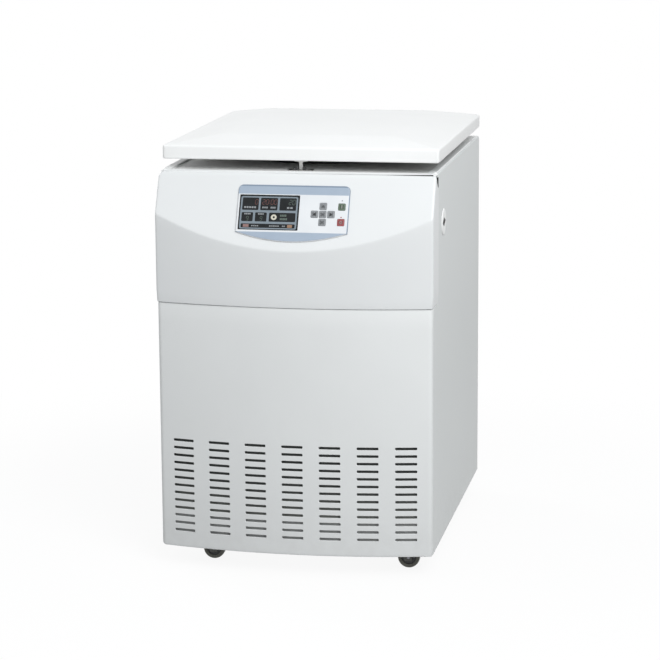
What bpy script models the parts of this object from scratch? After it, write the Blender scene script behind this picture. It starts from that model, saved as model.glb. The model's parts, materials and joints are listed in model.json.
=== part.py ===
"""Floor-standing refrigerated laboratory centrifuge, built as separate pieces in metres, +Z up.

X runs to the viewer's right, the bowed front faces -Y, and the origin lies on the floor under
the middle of the machine. Every piece is one closed solid with a small gap to its neighbours.
"""
from math import cos, pi, radians, sin, tan

import bmesh
import bpy
from mathutils import Matrix, Vector

# Clearances
FIT = 0.0003
SEAM_GAP = 0.002
RUNNING_GAP = 0.001

# Cabinet
BODY_WIDTH = 0.620
BODY_DEPTH = 0.785
FRONT_BOW = 0.0355
SHEET = 0.002
SKIRT_CLEARANCE = 0.047
LOWER_PANEL_HEIGHT = 0.560
UPPER_PANEL_HEIGHT = 0.288
LOWER_PANEL_WALL = 0.0025
UPPER_PANEL_WALL = 0.003
UPPER_PANEL_PROUD = 0.002
RETURN_DEPTH = 0.075
FACET_TILT = radians(26.0)
FACET_LOW_POINT = 0.126

# Vents of the lower front panel
VENT_COLUMNS = 7
VENT_ROWS = 13
VENT_PITCH_X = 0.0843
VENT_PITCH_Z = 0.0174
VENT_LENGTH = 0.043
VENT_HEIGHT = 0.005
VENT_LOWEST = 0.039
SLOT_CHAMFER = 0.6

# Rear panel
REAR_VENT_COLUMNS = 3
REAR_VENT_ROWS = 6
REAR_VENT_PITCH_X = 0.120
REAR_VENT_PITCH_Z = 0.030
REAR_VENT_LENGTH = 0.090
REAR_VENT_HEIGHT = 0.008
REAR_VENT_LOWEST = 0.190
GLAND_PROUD = 0.016
GLAND_RADIUS = 0.013
GLAND_BORE_RADIUS = 0.007
GLAND_DEPTH = 0.018
GLAND_COLLAR_RADIUS = 0.018
GLAND_Z = 0.150
SWITCH_WIDTH = 0.020
SWITCH_HEIGHT = 0.026
SWITCH_THICKNESS = 0.010
SWITCH_SWING_ROOM = 0.001
SWITCH_TILT = radians(8.0)
SWITCH_Z = 0.260
REAR_FITTING_INSET = 0.093

# Base plate and chassis plate
BASE_THICKNESS = 0.004
CHASSIS_HEIGHT = 0.560
CHASSIS_THICKNESS = 0.004
CHASSIS_SETBACK = 0.020

# Casters
WHEEL_RADIUS = 0.025
WHEEL_WIDTH = 0.020
WHEEL_SIDES = 20
AXLE_RADIUS = 0.004
CASTER_TRAIL = 0.0215
CASTER_INSET_X = 0.0845
CASTER_FRONT_SETBACK = 0.070
CASTER_REAR_INSET = 0.100
FORK_CHEEK = 0.0025
FORK_DISC_RADIUS = 0.026
FORK_DISC_THICKNESS = 0.004
FORK_HEADROOM = 0.0205

# Deck, gasket and lid
DECK_THICKNESS = 0.0025
DECK_DROP = 0.001
DECK_LIP = 0.012
LID_GAP = 0.023
LID_BAND = 0.031
LID_RISE = 0.012
LID_WALL = 0.003
LID_FRONT_SETBACK = 0.078
LID_REAR_INSET = 0.010
PLATEAU_FRONT_INSET = 0.125
PLATEAU_SIDE_INSET = 0.115
PLATEAU_REAR_INSET = 0.075
LINER_THICKNESS = 0.002
GASKET_WIDTH = 0.010
GASKET_MARGIN = 0.008

# Lid hinges
HINGE_INSET = 0.007
HINGE_SIDE_INSET = 0.105
HINGE_PIN_RADIUS = 0.004
HINGE_KNUCKLE_RADIUS = 0.008
HINGE_LUG = 0.006
HINGE_EAR = 0.005
HINGE_LEAF = 0.0025
HINGE_LEAF_DEPTH = 0.030
SPRING_WIRE = 0.0016
SPRING_TURNS = 6
SPRING_PITCH = 0.0030
SPRING_POINTS = 10

# Latch and emergency release
RELEASE_CLEARANCE = 0.017
RELEASE_DROP = 0.120
RELEASE_SHAFT_RADIUS = 0.005
RELEASE_HOLE_RADIUS = 0.012
ESCUTCHEON_RADIUS = 0.030
ESCUTCHEON_THICKNESS = 0.002
KEYHOLE_RADIUS = 0.008
STRIKER_SETBACK = 0.020
STRIKER_WIDTH = 0.034
STRIKER_BAR = 0.006
STRIKER_DEPTH = 0.034
STRIKER_SLOT_MARGIN = 0.006
HOOK_WIDTH = 0.012
HOOK_NOSE = 0.014
HOOK_RELEASE_ANGLE = radians(12.0)
LOCK_MOTOR_LENGTH = 0.080
LOCK_MOTOR_SIZE = 0.036
LOCK_MOTOR_OFFSET = 0.030

# Chamber
BOWL_RADIUS = 0.200
BOWL_WALL = 0.003
BOWL_RIM = 0.012
ROUND_STEPS = 24
COIL_TUBE = 0.008
COIL_TURNS = 5
COIL_PITCH = 0.032
COIL_SIDES = 6
COIL_LOWEST = 0.050
JACKET_WALL = 0.026
JACKET_FLOOR = 0.030
GUARD_WALL = 0.008

# Drive
MOTOR_RADIUS = 0.085
MOTOR_LENGTH = 0.220
MOTOR_FLANGE_RADIUS = 0.120
MOTOR_FLANGE = 0.010
MOTOR_NECK_RADIUS = 0.034
MOUNT_RADIUS = 0.016
MOUNT_HEIGHT = 0.018
MOUNT_COUNT = 3
SHAFT_RADIUS = 0.0125
SHAFT_NOSE_RADIUS = 0.0095
SHAFT_SEAT_DEPTH = 0.060

# Swing-out rotor
BUCKET_COUNT = 4
BUCKET_PIN_DISTANCE = 0.095
BUCKET_RADIUS = 0.035
BUCKET_WALL = 0.004
BUCKET_FLOOR = 0.005
BUCKET_ABOVE_PIN = 0.025
BUCKET_BELOW_PIN = 0.085
BUCKET_FLOOR_CLEARANCE = 0.022
TRUNNION_RADIUS = 0.004
TRUNNION_BOSS = 0.008
TRUNNION_BOSS_HALF = 0.011
YOKE_HUB_RADIUS = 0.030
YOKE_HUB_HEIGHT = 0.070
YOKE_BLOCK = 0.058
YOKE_BLOCK_HEIGHT = 0.040
YOKE_ARM_WIDTH = 0.024
NUT_RADIUS = 0.018
NUT_HEIGHT = 0.022

# Cooling and power units
COMPRESSOR_RADIUS = 0.080
COMPRESSOR_HEIGHT = 0.210
COMPRESSOR_FOOT = 0.010
COMPRESSOR_SIDE_GAP = 0.033
COMPRESSOR_SETBACK = 0.580
CONDENSER_WIDTH = 0.400
CONDENSER_HEIGHT = 0.220
CONDENSER_DEPTH = 0.040
CONDENSER_SETBACK = 0.135
FAN_RADIUS = 0.086
FAN_GAP = 0.006
FAN_HUB_RADIUS = 0.022
FAN_HUB_DEPTH = 0.025
FAN_BLADES = 5
FAN_BLADE_WIDTH = 0.024
FAN_BLADE_THICKNESS = 0.0015
FAN_BLADE_PITCH = radians(30.0)
FAN_PIN_RADIUS = 0.004
FAN_PIN_LENGTH = 0.018
BRACKET_WIDTH = 0.044
BRACKET_THICKNESS = 0.003
BRACKET_FOOT = 0.040
INVERTER_WIDTH = 0.150
INVERTER_DEPTH = 0.240
INVERTER_HEIGHT = 0.300
INVERTER_SIDE_GAP = 0.038
INVERTER_SETBACK = 0.560

# Control panel, measured along the tilted facet
BEZEL_SAG = 0.021
BEZEL_THICKNESS = 0.004
BEZEL_TOP_MARGIN = 0.029
BEZEL_CORNER = 0.008
BEZEL_ARC_STEPS = 8
BEZEL_END_MARGIN = 0.0085
WINDOW_WIDTH = 0.134
WINDOW_HEIGHT = 0.080
WINDOW_MARGIN_X = 0.005
WINDOW_MARGIN_TOP = 0.024
WINDOW_MARGIN_LOW = 0.005
WINDOW_THICKNESS = 0.0036
KEY_SIZE = 0.0150
KEY_PITCH = 0.0184
KEY_THICKNESS = 0.0034
KEY_REST_GAP = 0.0014
KEYPAD_MARGIN = 0.0276
KEYPAD_DROP = 0.002
PUSH_MARGIN = 0.008
PUSH_SPACING = 0.0354

# Heights and depths that follow from the driving sizes
TOTAL_DEPTH = UPPER_PANEL_PROUD + FRONT_BOW + BODY_DEPTH + GLAND_PROUD
CORNER_Y = -TOTAL_DEPTH / 2 + UPPER_PANEL_PROUD + FRONT_BOW
REAR_Y = CORNER_Y + BODY_DEPTH
HALF_WIDTH = BODY_WIDTH / 2
INNER_HALF = HALF_WIDTH - SHEET - FIT
LOWER_TOP_Z = SKIRT_CLEARANCE + LOWER_PANEL_HEIGHT
UPPER_BOTTOM_Z = LOWER_TOP_Z + SEAM_GAP
PANEL_TOP_Z = UPPER_BOTTOM_Z + UPPER_PANEL_HEIGHT
APEX_Y = CORNER_Y - FRONT_BOW - UPPER_PANEL_PROUD
FACET_LOW_Z = UPPER_BOTTOM_Z + FACET_LOW_POINT
FACET_TOP_Y = APEX_Y + (PANEL_TOP_Z - FACET_LOW_Z) * tan(FACET_TILT)
RETURN_REAR_Y = CORNER_Y + RETURN_DEPTH
SIDE_FRONT_Y = CORNER_Y + LOWER_PANEL_WALL + FIT
DECK_TOP_Z = PANEL_TOP_Z - DECK_DROP
DECK_UNDER_Z = DECK_TOP_Z - DECK_THICKNESS
DECK_FRONT_Y = FACET_TOP_Y + UPPER_PANEL_WALL / cos(FACET_TILT) + FIT
INNER_REAR_Y = REAR_Y - SHEET - FIT
LID_BOTTOM_Z = DECK_TOP_Z + LID_GAP
LID_FRONT_Y = CORNER_Y + LID_FRONT_SETBACK
LID_REAR_Y = REAR_Y - LID_REAR_INSET
CHAMBER_Y = (LID_FRONT_Y + LID_REAR_Y) / 2
HINGE_X = HALF_WIDTH - HINGE_SIDE_INSET
HINGE_Y = LID_REAR_Y - HINGE_INSET
HINGE_Z = DECK_TOP_Z + LID_GAP / 2
FORK_TOP_Z = 2 * WHEEL_RADIUS + FORK_HEADROOM + FORK_DISC_THICKNESS
BASE_UNDER_Z = FORK_TOP_Z + FIT
BASE_TOP_Z = BASE_UNDER_Z + BASE_THICKNESS
UNIT_BASE_Z = BASE_TOP_Z + FIT
CHASSIS_UNDER_Z = CHASSIS_HEIGHT - CHASSIS_THICKNESS
JACKET_BASE_Z = CHASSIS_HEIGHT + FIT
BOWL_BASE_Z = JACKET_BASE_Z + JACKET_FLOOR + FIT
BOWL_FLOOR_Z = BOWL_BASE_Z + BOWL_WALL
BOWL_OUTER = BOWL_RADIUS + BOWL_WALL
COIL_RADIUS = BOWL_OUTER + FIT + COIL_TUBE / 2
JACKET_INNER = COIL_RADIUS + COIL_TUBE / 2 + RUNNING_GAP
JACKET_OUTER = JACKET_INNER + JACKET_WALL
GUARD_INNER = JACKET_OUTER + FIT
GUARD_OUTER = GUARD_INNER + GUARD_WALL
PIN_Z = BOWL_FLOOR_Z + BUCKET_FLOOR_CLEARANCE + BUCKET_BELOW_PIN
HUB_BASE_Z = PIN_Z - YOKE_HUB_HEIGHT / 2
HUB_TOP_Z = PIN_Z + YOKE_HUB_HEIGHT / 2
MOTOR_FLANGE_TOP_Z = CHASSIS_UNDER_Z - 2 * FIT - MOUNT_HEIGHT
RELEASE_Y = CHAMBER_Y - GUARD_OUTER - RELEASE_CLEARANCE
RELEASE_Z = PANEL_TOP_Z - RELEASE_DROP
STRIKER_Y = LID_FRONT_Y + STRIKER_SETBACK
STRIKER_BAR_TOP_Z = DECK_UNDER_Z - STRIKER_DEPTH + STRIKER_BAR
CONDENSER_Y = CORNER_Y + CONDENSER_SETBACK
FAN_Y = CONDENSER_Y + CONDENSER_DEPTH + FAN_GAP
FAN_Z = UNIT_BASE_Z + CONDENSER_HEIGHT / 2
REAR_FITTING_X = INNER_HALF - REAR_FITTING_INSET
KEYPAD_SPAN = 2 * KEY_PITCH + KEY_SIZE
BEZEL_WIDTH = (WINDOW_MARGIN_X + WINDOW_WIDTH + KEYPAD_MARGIN + KEYPAD_SPAN + PUSH_MARGIN + KEY_SIZE
               + BEZEL_END_MARGIN)
BEZEL_SIDE_HEIGHT = WINDOW_MARGIN_TOP + WINDOW_HEIGHT + WINDOW_MARGIN_LOW


def clear_scene():
    """Remove every object so that the file holds only this machine."""
    for item in list(bpy.data.objects):
        bpy.data.objects.remove(item, do_unlink=True)


def make_material(name, colour, roughness, metallic=0.0):
    """A plain Principled finish."""
    material = bpy.data.materials.new(name)
    material.use_nodes = True
    shader = material.node_tree.nodes["Principled BSDF"]
    shader.inputs["Base Color"].default_value = (*colour, 1.0)
    shader.inputs["Roughness"].default_value = roughness
    shader.inputs["Metallic"].default_value = metallic
    return material


def add_piece(name, mesh, material, pivot=(0.0, 0.0, 0.0), frame=None, smooth=False):
    """Turn a mesh into a named object whose origin is its pivot, or that sits in a parent frame."""
    pivot = Vector(pivot)
    bmesh.ops.translate(mesh, vec=-pivot, verts=mesh.verts)
    data = bpy.data.meshes.new(name)
    mesh.to_mesh(data)
    mesh.free()
    data.materials.append(material)
    piece = bpy.data.objects.new(name, data)
    bpy.context.collection.objects.link(piece)
    piece.location = pivot
    piece.parent = frame
    if smooth:
        data.shade_smooth()
        data.set_sharp_from_angle(angle=radians(35.0))
    return piece


def add_frame(name, matrix):
    """An empty that carries the pieces of one sloping face."""
    frame = bpy.data.objects.new(name, None)
    bpy.context.collection.objects.link(frame)
    frame.matrix_world = matrix
    return frame


def box(low, high):
    """An axis-aligned block between two corners."""
    mesh = bmesh.new()
    size = [b - a for a, b in zip(low, high)]
    middle = [(a + b) / 2 for a, b in zip(low, high)]
    matrix = Matrix.Translation(middle) @ Matrix.Diagonal((*size, 1.0))
    bmesh.ops.create_cube(mesh, size=1.0, matrix=matrix)
    return mesh


def prism(outline, axis, low, high):
    """A flat outline, given in the other two axes in order, extruded along one axis."""
    mesh = bmesh.new()
    index = "xyz".index(axis)

    def corner(point, level):
        values = list(point)
        values.insert(index, level)
        return mesh.verts.new(values)

    bottom = [corner(point, low) for point in outline]
    top = [corner(point, high) for point in outline]
    mesh.faces.new(bottom)
    mesh.faces.new(top)
    for k in range(len(outline)):
        n = (k + 1) % len(outline)
        mesh.faces.new((bottom[k], bottom[n], top[n], top[k]))
    bmesh.ops.recalc_face_normals(mesh, faces=mesh.faces)
    return mesh


def lathe(profile, centre, axis="z", steps=ROUND_STEPS, phase=0.0):
    """A closed outline of (radius, height) points turned once around an axis through a centre."""
    mesh = bmesh.new()
    rings = []
    for radius, height in profile:
        if radius == 0.0:
            rings.append([mesh.verts.new((0.0, 0.0, height))] * steps)
            continue
        angles = [phase + 2 * pi * k / steps for k in range(steps)]
        rings.append([mesh.verts.new((radius * cos(a), radius * sin(a), height)) for a in angles])
    for k in range(len(rings)):
        lower = rings[k]
        upper = rings[(k + 1) % len(rings)]
        for s in range(steps):
            n = (s + 1) % steps
            corners = list(dict.fromkeys((lower[s], lower[n], upper[n], upper[s])))
            if len(corners) > 2:
                mesh.faces.new(corners)
    bmesh.ops.recalc_face_normals(mesh, faces=mesh.faces)
    turn = {"z": Matrix(), "y": Matrix.Rotation(-pi / 2, 4, "X"), "x": Matrix.Rotation(pi / 2, 4, "Y")}
    mesh.transform(Matrix.Translation(centre) @ turn[axis])
    return mesh


def rod(radius, low, high, centre, axis="z", steps=16, phase=0.0):
    """A round bar between two levels of its axis, counted from its centre."""
    angles = [phase + 2 * pi * k / steps for k in range(steps)]
    mesh = prism([(radius * cos(a), radius * sin(a)) for a in angles], axis, low, high)
    bmesh.ops.translate(mesh, vec=centre, verts=mesh.verts)
    return mesh


def sweep(points, radius, sides):
    """A round tube with flat ends along a list of points, its section carried along without twist."""
    mesh = bmesh.new()
    count = len(points)
    side = None
    rings = []
    for k, point in enumerate(points):
        tangent = (points[min(k + 1, count - 1)] - points[max(k - 1, 0)]).normalized()
        if side is None:
            side = tangent.orthogonal().normalized()
        side = (side - tangent * side.dot(tangent)).normalized()
        other = tangent.cross(side)
        angles = [2 * pi * s / sides for s in range(sides)]
        rings.append([mesh.verts.new(point + radius * (cos(a) * side + sin(a) * other)) for a in angles])
    for lower, upper in zip(rings, rings[1:]):
        for s in range(sides):
            n = (s + 1) % sides
            mesh.faces.new((lower[s], lower[n], upper[n], upper[s]))
    mesh.faces.new(rings[0])
    mesh.faces.new(rings[-1])
    bmesh.ops.recalc_face_normals(mesh, faces=mesh.faces)
    return mesh


def gather(meshes):
    """Several separate meshes put side by side in one, for use as a single cutter."""
    merged = bmesh.new()
    for mesh in meshes:
        data = bpy.data.meshes.new("gathered")
        mesh.to_mesh(data)
        mesh.free()
        merged.from_mesh(data)
        bpy.data.meshes.remove(data)
    return merged


def combine(base, other, operation):
    """The Boolean of two meshes as one new mesh."""
    pair = []
    for mesh in (base, other):
        data = bpy.data.meshes.new("operand")
        mesh.to_mesh(data)
        mesh.free()
        operand = bpy.data.objects.new("operand", data)
        bpy.context.collection.objects.link(operand)
        pair.append(operand)
    modifier = pair[0].modifiers.new("combine", "BOOLEAN")
    modifier.operation = operation
    modifier.object = pair[1]
    result = bmesh.new()
    result.from_object(pair[0], bpy.context.evaluated_depsgraph_get())
    for operand in pair:
        data = operand.data
        bpy.data.objects.remove(operand, do_unlink=True)
        bpy.data.meshes.remove(data)
    return result


def cut(base, *cutters):
    """The base with each cutter taken away."""
    for cutter in cutters:
        base = combine(base, cutter, "DIFFERENCE")
    return base


def join(base, *additions):
    """The base and the additions as one solid."""
    for addition in additions:
        base = combine(base, addition, "UNION")
    return base


def least_gap(points, radius, skip):
    """The least clear distance between parts of one tube that lie further apart along it than skip."""
    least = min((points[i] - points[j]).length
                for i in range(len(points)) for j in range(i + skip, len(points)))
    return least - 2 * radius


def bow_stations(half):
    """X stations of the bowed front: the panel's ends and the lines midway between vent columns."""
    lines = [(k - VENT_COLUMNS / 2) * VENT_PITCH_X for k in range(VENT_COLUMNS + 1)]
    return [-half] + [x for x in lines if abs(x) < half - SHEET] + [half]


def bow_line(half, corner_y):
    """Plan of the bowed front, a shallow parabola through both front corners."""
    return [(x, corner_y - FRONT_BOW * (1 - (x / half) ** 2)) for x in bow_stations(half)]


def slot_outline(x, z, length, height):
    """A narrow slot whose ends are chamfered over a share of its half height."""
    a = length / 2
    b = height / 2
    c = a - b * SLOT_CHAMFER
    d = b * (1 - SLOT_CHAMFER)
    return [(x - a, z - d), (x - c, z - b), (x + c, z - b), (x + a, z - d),
            (x + a, z + d), (x + c, z + b), (x - c, z + b), (x - a, z + d)]


def rounded_rectangle(x0, x1, y0, y1, radius, steps=3):
    """A rectangle with round corners, walked anticlockwise."""
    points = []
    corners = [(x1 - radius, y0 + radius, -pi / 2), (x1 - radius, y1 - radius, 0.0),
               (x0 + radius, y1 - radius, pi / 2), (x0 + radius, y0 + radius, pi)]
    for cx, cy, start in corners:
        for k in range(steps + 1):
            angle = start + pi / 2 * k / steps
            points.append((cx + radius * cos(angle), cy + radius * sin(angle)))
    return points


def build_side_panels(paint):
    """Flat side sheets, notched at the upper front for the returns of the upper front panel."""
    notch_y = RETURN_REAR_Y + FIT
    notch_z = UPPER_BOTTOM_Z - FIT
    outline = [(SIDE_FRONT_Y, SKIRT_CLEARANCE), (REAR_Y, SKIRT_CLEARANCE), (REAR_Y, DECK_TOP_Z),
               (notch_y, DECK_TOP_Z), (notch_y, notch_z), (SIDE_FRONT_Y, notch_z)]
    left = prism(outline, "x", -HALF_WIDTH, -HALF_WIDTH + SHEET)
    add_piece("left_side_panel", left, paint)
    right = prism(outline, "x", HALF_WIDTH - SHEET, HALF_WIDTH)
    hole = rod(RELEASE_HOLE_RADIUS, -SHEET, SHEET, (HALF_WIDTH - SHEET / 2, RELEASE_Y, RELEASE_Z), "x")
    add_piece("right_side_panel", cut(right, hole), paint)


def build_lower_front_panel(paint):
    """Bowed sheet with a block of vent slots near the floor."""
    front = bow_line(HALF_WIDTH, CORNER_Y)
    back = [(x, y + LOWER_PANEL_WALL) for x, y in reversed(front)]
    sheet = prism(front + back, "z", SKIRT_CLEARANCE, LOWER_TOP_Z)
    slots = []
    for column in range(VENT_COLUMNS):
        x = (column - (VENT_COLUMNS - 1) / 2) * VENT_PITCH_X
        for row in range(VENT_ROWS):
            z = SKIRT_CLEARANCE + VENT_LOWEST + row * VENT_PITCH_Z
            outline = slot_outline(x, z, VENT_LENGTH, VENT_HEIGHT)
            slots.append(prism(outline, "y", APEX_Y - SHEET, CORNER_Y + SHEET))
    add_piece("lower_front_panel", cut(sheet, gather(slots)), paint)


def facet_wedge(inset):
    """A block filling all space in front of the tilted facet moved inward by an inset."""
    lift = inset / cos(FACET_TILT)
    reach = 2 * BODY_WIDTH
    top_z = FACET_LOW_Z + reach * cos(FACET_TILT)
    top_y = APEX_Y + lift + reach * sin(FACET_TILT)
    low_z = FACET_LOW_Z - reach * cos(FACET_TILT)
    low_y = APEX_Y + lift - reach * sin(FACET_TILT)
    outline = [(low_y, low_z), (top_y, top_z), (low_y, top_z)]
    return prism(outline, "x", -BODY_WIDTH, BODY_WIDTH)


def build_upper_front_panel(paint):
    """Moulded cover: a bowed wall whose upper part is sliced by the tilted facet, with side returns."""
    half = HALF_WIDTH + UPPER_PANEL_PROUD
    outer_front = bow_line(half, CORNER_Y - UPPER_PANEL_PROUD)
    outer = prism(outer_front + [(half, RETURN_REAR_Y), (-half, RETURN_REAR_Y)], "z",
                  UPPER_BOTTOM_Z, PANEL_TOP_Z)
    outer = cut(outer, facet_wedge(0.0))
    inner_half = half - UPPER_PANEL_WALL
    inner_front = bow_line(inner_half, CORNER_Y - UPPER_PANEL_PROUD + UPPER_PANEL_WALL)
    rear = RETURN_REAR_Y + SHEET
    inner = prism(inner_front + [(inner_half, rear), (-inner_half, rear)], "z",
                  UPPER_BOTTOM_Z - SHEET, PANEL_TOP_Z + SHEET)
    inner = cut(inner, facet_wedge(UPPER_PANEL_WALL))
    add_piece("upper_front_panel", cut(outer, inner), paint)


def build_rear_panel(paint):
    """Flat rear sheet with air slots and openings for the mains switch and the cable gland."""
    sheet = box((-INNER_HALF, REAR_Y - SHEET, SKIRT_CLEARANCE), (INNER_HALF, REAR_Y, DECK_UNDER_Z - FIT))
    front = REAR_Y - 2 * SHEET
    back = REAR_Y + SHEET
    holes = []
    for column in range(REAR_VENT_COLUMNS):
        x = (column - (REAR_VENT_COLUMNS - 1) / 2) * REAR_VENT_PITCH_X - REAR_VENT_PITCH_X / 2
        for row in range(REAR_VENT_ROWS):
            z = REAR_VENT_LOWEST + row * REAR_VENT_PITCH_Z
            outline = slot_outline(x, z, REAR_VENT_LENGTH, REAR_VENT_HEIGHT)
            holes.append(prism(outline, "y", front, back))
    half_x = SWITCH_WIDTH / 2 + FIT
    half_z = SWITCH_HEIGHT / 2 + SWITCH_SWING_ROOM
    holes.append(box((REAR_FITTING_X - half_x, front, SWITCH_Z - half_z),
                     (REAR_FITTING_X + half_x, back, SWITCH_Z + half_z)))
    holes.append(rod(GLAND_RADIUS + FIT, front, back, (REAR_FITTING_X, 0.0, GLAND_Z), "y"))
    add_piece("rear_panel", cut(sheet, gather(holes)), paint)


def build_base_plate(steel):
    """Flat floor of the cabinet that stands on the casters and carries the cooling unit."""
    plate = box((-INNER_HALF, SIDE_FRONT_Y + FIT, BASE_UNDER_Z), (INNER_HALF, INNER_REAR_Y, BASE_TOP_Z))
    add_piece("base_plate", plate, steel)


def build_chassis_plate(steel):
    """Shelf between the side panels that carries the guard ring above and the motor below."""
    front = CORNER_Y + CHASSIS_SETBACK
    plate = box((-INNER_HALF, front, CHASSIS_UNDER_Z), (INNER_HALF, INNER_REAR_Y, CHASSIS_HEIGHT))
    neck = rod(MOTOR_NECK_RADIUS + RUNNING_GAP, CHASSIS_UNDER_Z - SHEET, CHASSIS_HEIGHT + SHEET,
               (0.0, CHAMBER_Y, 0.0), steps=ROUND_STEPS)
    add_piece("chassis_plate", cut(plate, neck), steel)


def build_top_deck(paint):
    """Deck sheet with the round chamber mouth, the striker slot and a folded front lip."""
    sheet = box((-INNER_HALF, DECK_FRONT_Y, DECK_UNDER_Z), (INNER_HALF, REAR_Y, DECK_TOP_Z))
    lip_y = DECK_FRONT_Y + UPPER_PANEL_WALL
    lip = box((-INNER_HALF, lip_y, DECK_TOP_Z - DECK_LIP),
              (INNER_HALF, lip_y + SHEET, DECK_TOP_Z - SHEET / 2))
    low = DECK_UNDER_Z - SHEET
    high = DECK_TOP_Z + SHEET
    mouth = rod(BOWL_RADIUS, low, high, (0.0, CHAMBER_Y, 0.0), steps=ROUND_STEPS)
    half_x = STRIKER_WIDTH / 2 + STRIKER_SLOT_MARGIN
    half_y = STRIKER_BAR / 2 + STRIKER_SLOT_MARGIN
    slot = box((-half_x, STRIKER_Y - half_y, low), (half_x, STRIKER_Y + half_y, high))
    add_piece("top_deck", cut(join(sheet, lip), mouth, slot), paint)


def build_chamber(steel, inox, foam, copper, rubber):
    """Bowl, cooling coil, insulation, guard ring and seal, turned around the drive axis."""
    centre = (0.0, CHAMBER_Y, 0.0)
    rim_z = DECK_UNDER_Z - FIT
    rim_under = rim_z - BOWL_WALL
    hole = MOTOR_NECK_RADIUS + RUNNING_GAP
    bowl = [(hole, BOWL_BASE_Z), (BOWL_OUTER, BOWL_BASE_Z), (BOWL_OUTER, rim_under),
            (BOWL_OUTER + BOWL_RIM, rim_under), (BOWL_OUTER + BOWL_RIM, rim_z), (BOWL_RADIUS, rim_z),
            (BOWL_RADIUS, BOWL_FLOOR_Z), (hole, BOWL_FLOOR_Z)]
    add_piece("bowl", lathe(bowl, centre), inox, smooth=True)
    floor_z = JACKET_BASE_Z + JACKET_FLOOR
    jacket_top = rim_under - FIT
    jacket = [(hole, JACKET_BASE_Z), (JACKET_OUTER, JACKET_BASE_Z), (JACKET_OUTER, jacket_top),
              (JACKET_INNER, jacket_top), (JACKET_INNER, floor_z), (hole, floor_z)]
    add_piece("insulation_jacket", lathe(jacket, centre), foam)
    guard = [(GUARD_INNER, JACKET_BASE_Z), (GUARD_OUTER, JACKET_BASE_Z), (GUARD_OUTER, rim_z),
             (GUARD_INNER, rim_z)]
    add_piece("guard_ring", lathe(guard, centre), steel)
    seal_inner = BOWL_RADIUS + GASKET_MARGIN
    seal_base = DECK_TOP_Z + FIT
    seal_top = LID_BOTTOM_Z - FIT
    waist = seal_inner + GASKET_WIDTH / 3
    seal = [(seal_inner, seal_base), (seal_inner + GASKET_WIDTH, seal_base),
            (seal_inner + GASKET_WIDTH, seal_base + GASKET_WIDTH), (waist + GASKET_WIDTH / 3, seal_top),
            (waist, seal_top), (seal_inner, seal_base + GASKET_WIDTH)]
    add_piece("chamber_gasket", lathe(seal, centre), rubber, smooth=True)
    add_piece("evaporator_coil", build_coil(), copper, smooth=True)


def build_coil():
    """Copper tube wound on the bowl, a point at each of the bowl's corners, with straight ends."""
    start = BOWL_BASE_Z + COIL_LOWEST
    points = []
    for k in range(COIL_TURNS * ROUND_STEPS + 1):
        angle = 2 * pi * k / ROUND_STEPS
        rise = start + COIL_PITCH * k / ROUND_STEPS
        points.append(Vector((COIL_RADIUS * cos(angle), CHAMBER_Y + COIL_RADIUS * sin(angle), rise)))
    straight = Vector((0.0, 2 * pi * COIL_RADIUS, COIL_PITCH)).normalized() * COIL_TUBE
    points = [points[0] - straight] + points + [points[-1] + straight]
    gap = least_gap(points, COIL_TUBE / 2, ROUND_STEPS // 2)
    print("evaporator_coil least gap to itself", round(gap, 5))
    return sweep(points, COIL_TUBE / 2, COIL_SIDES)


def build_drive(paint, rubber, inox):
    """Motor hung from the chassis plate on rubber mounts, and the shaft that stands in it."""
    flange_under = MOTOR_FLANGE_TOP_Z - MOTOR_FLANGE
    base = flange_under - MOTOR_LENGTH
    bevel = MOTOR_FLANGE
    seat = MOTOR_FLANGE_TOP_Z - SHAFT_SEAT_DEPTH
    bore = SHAFT_RADIUS + FIT
    neck_top = BOWL_FLOOR_Z + BOWL_WALL
    profile = [(0.0, base), (MOTOR_RADIUS - bevel, base), (MOTOR_RADIUS, base + bevel),
               (MOTOR_RADIUS, flange_under), (MOTOR_FLANGE_RADIUS, flange_under),
               (MOTOR_FLANGE_RADIUS, MOTOR_FLANGE_TOP_Z), (MOTOR_NECK_RADIUS, MOTOR_FLANGE_TOP_Z),
               (MOTOR_NECK_RADIUS, neck_top), (bore, neck_top), (bore, seat), (0.0, seat)]
    centre = Vector((0.0, CHAMBER_Y, 0.0))
    add_piece("motor_housing", lathe(profile, centre, steps=24), paint, smooth=True)
    ring = MOTOR_FLANGE_RADIUS - MOUNT_RADIUS
    for k in range(MOUNT_COUNT):
        angle = pi / 2 + 2 * pi * k / MOUNT_COUNT
        place = centre + Vector((ring * cos(angle), ring * sin(angle), 0.0))
        mount = rod(MOUNT_RADIUS, MOTOR_FLANGE_TOP_Z + FIT, CHASSIS_UNDER_Z - FIT, place)
        add_piece(f"motor_mount_{k + 1}", mount, rubber, smooth=True)
    nose_top = HUB_TOP_Z + NUT_HEIGHT / 2
    shaft = [(0.0, seat + FIT), (SHAFT_RADIUS, seat + FIT), (SHAFT_RADIUS, HUB_BASE_Z - FIT),
             (SHAFT_NOSE_RADIUS, HUB_BASE_Z - FIT), (SHAFT_NOSE_RADIUS, nose_top), (0.0, nose_top)]
    add_piece("drive_shaft", lathe(shaft, centre, steps=24), inox, pivot=centre, smooth=True)


def bucket_frame(k):
    """The turn that takes the bucket on +X to place k of the rotor."""
    return Matrix.Translation((0.0, CHAMBER_Y, 0.0)) @ Matrix.Rotation(2 * pi * k / BUCKET_COUNT, 4, "Z")


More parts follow.
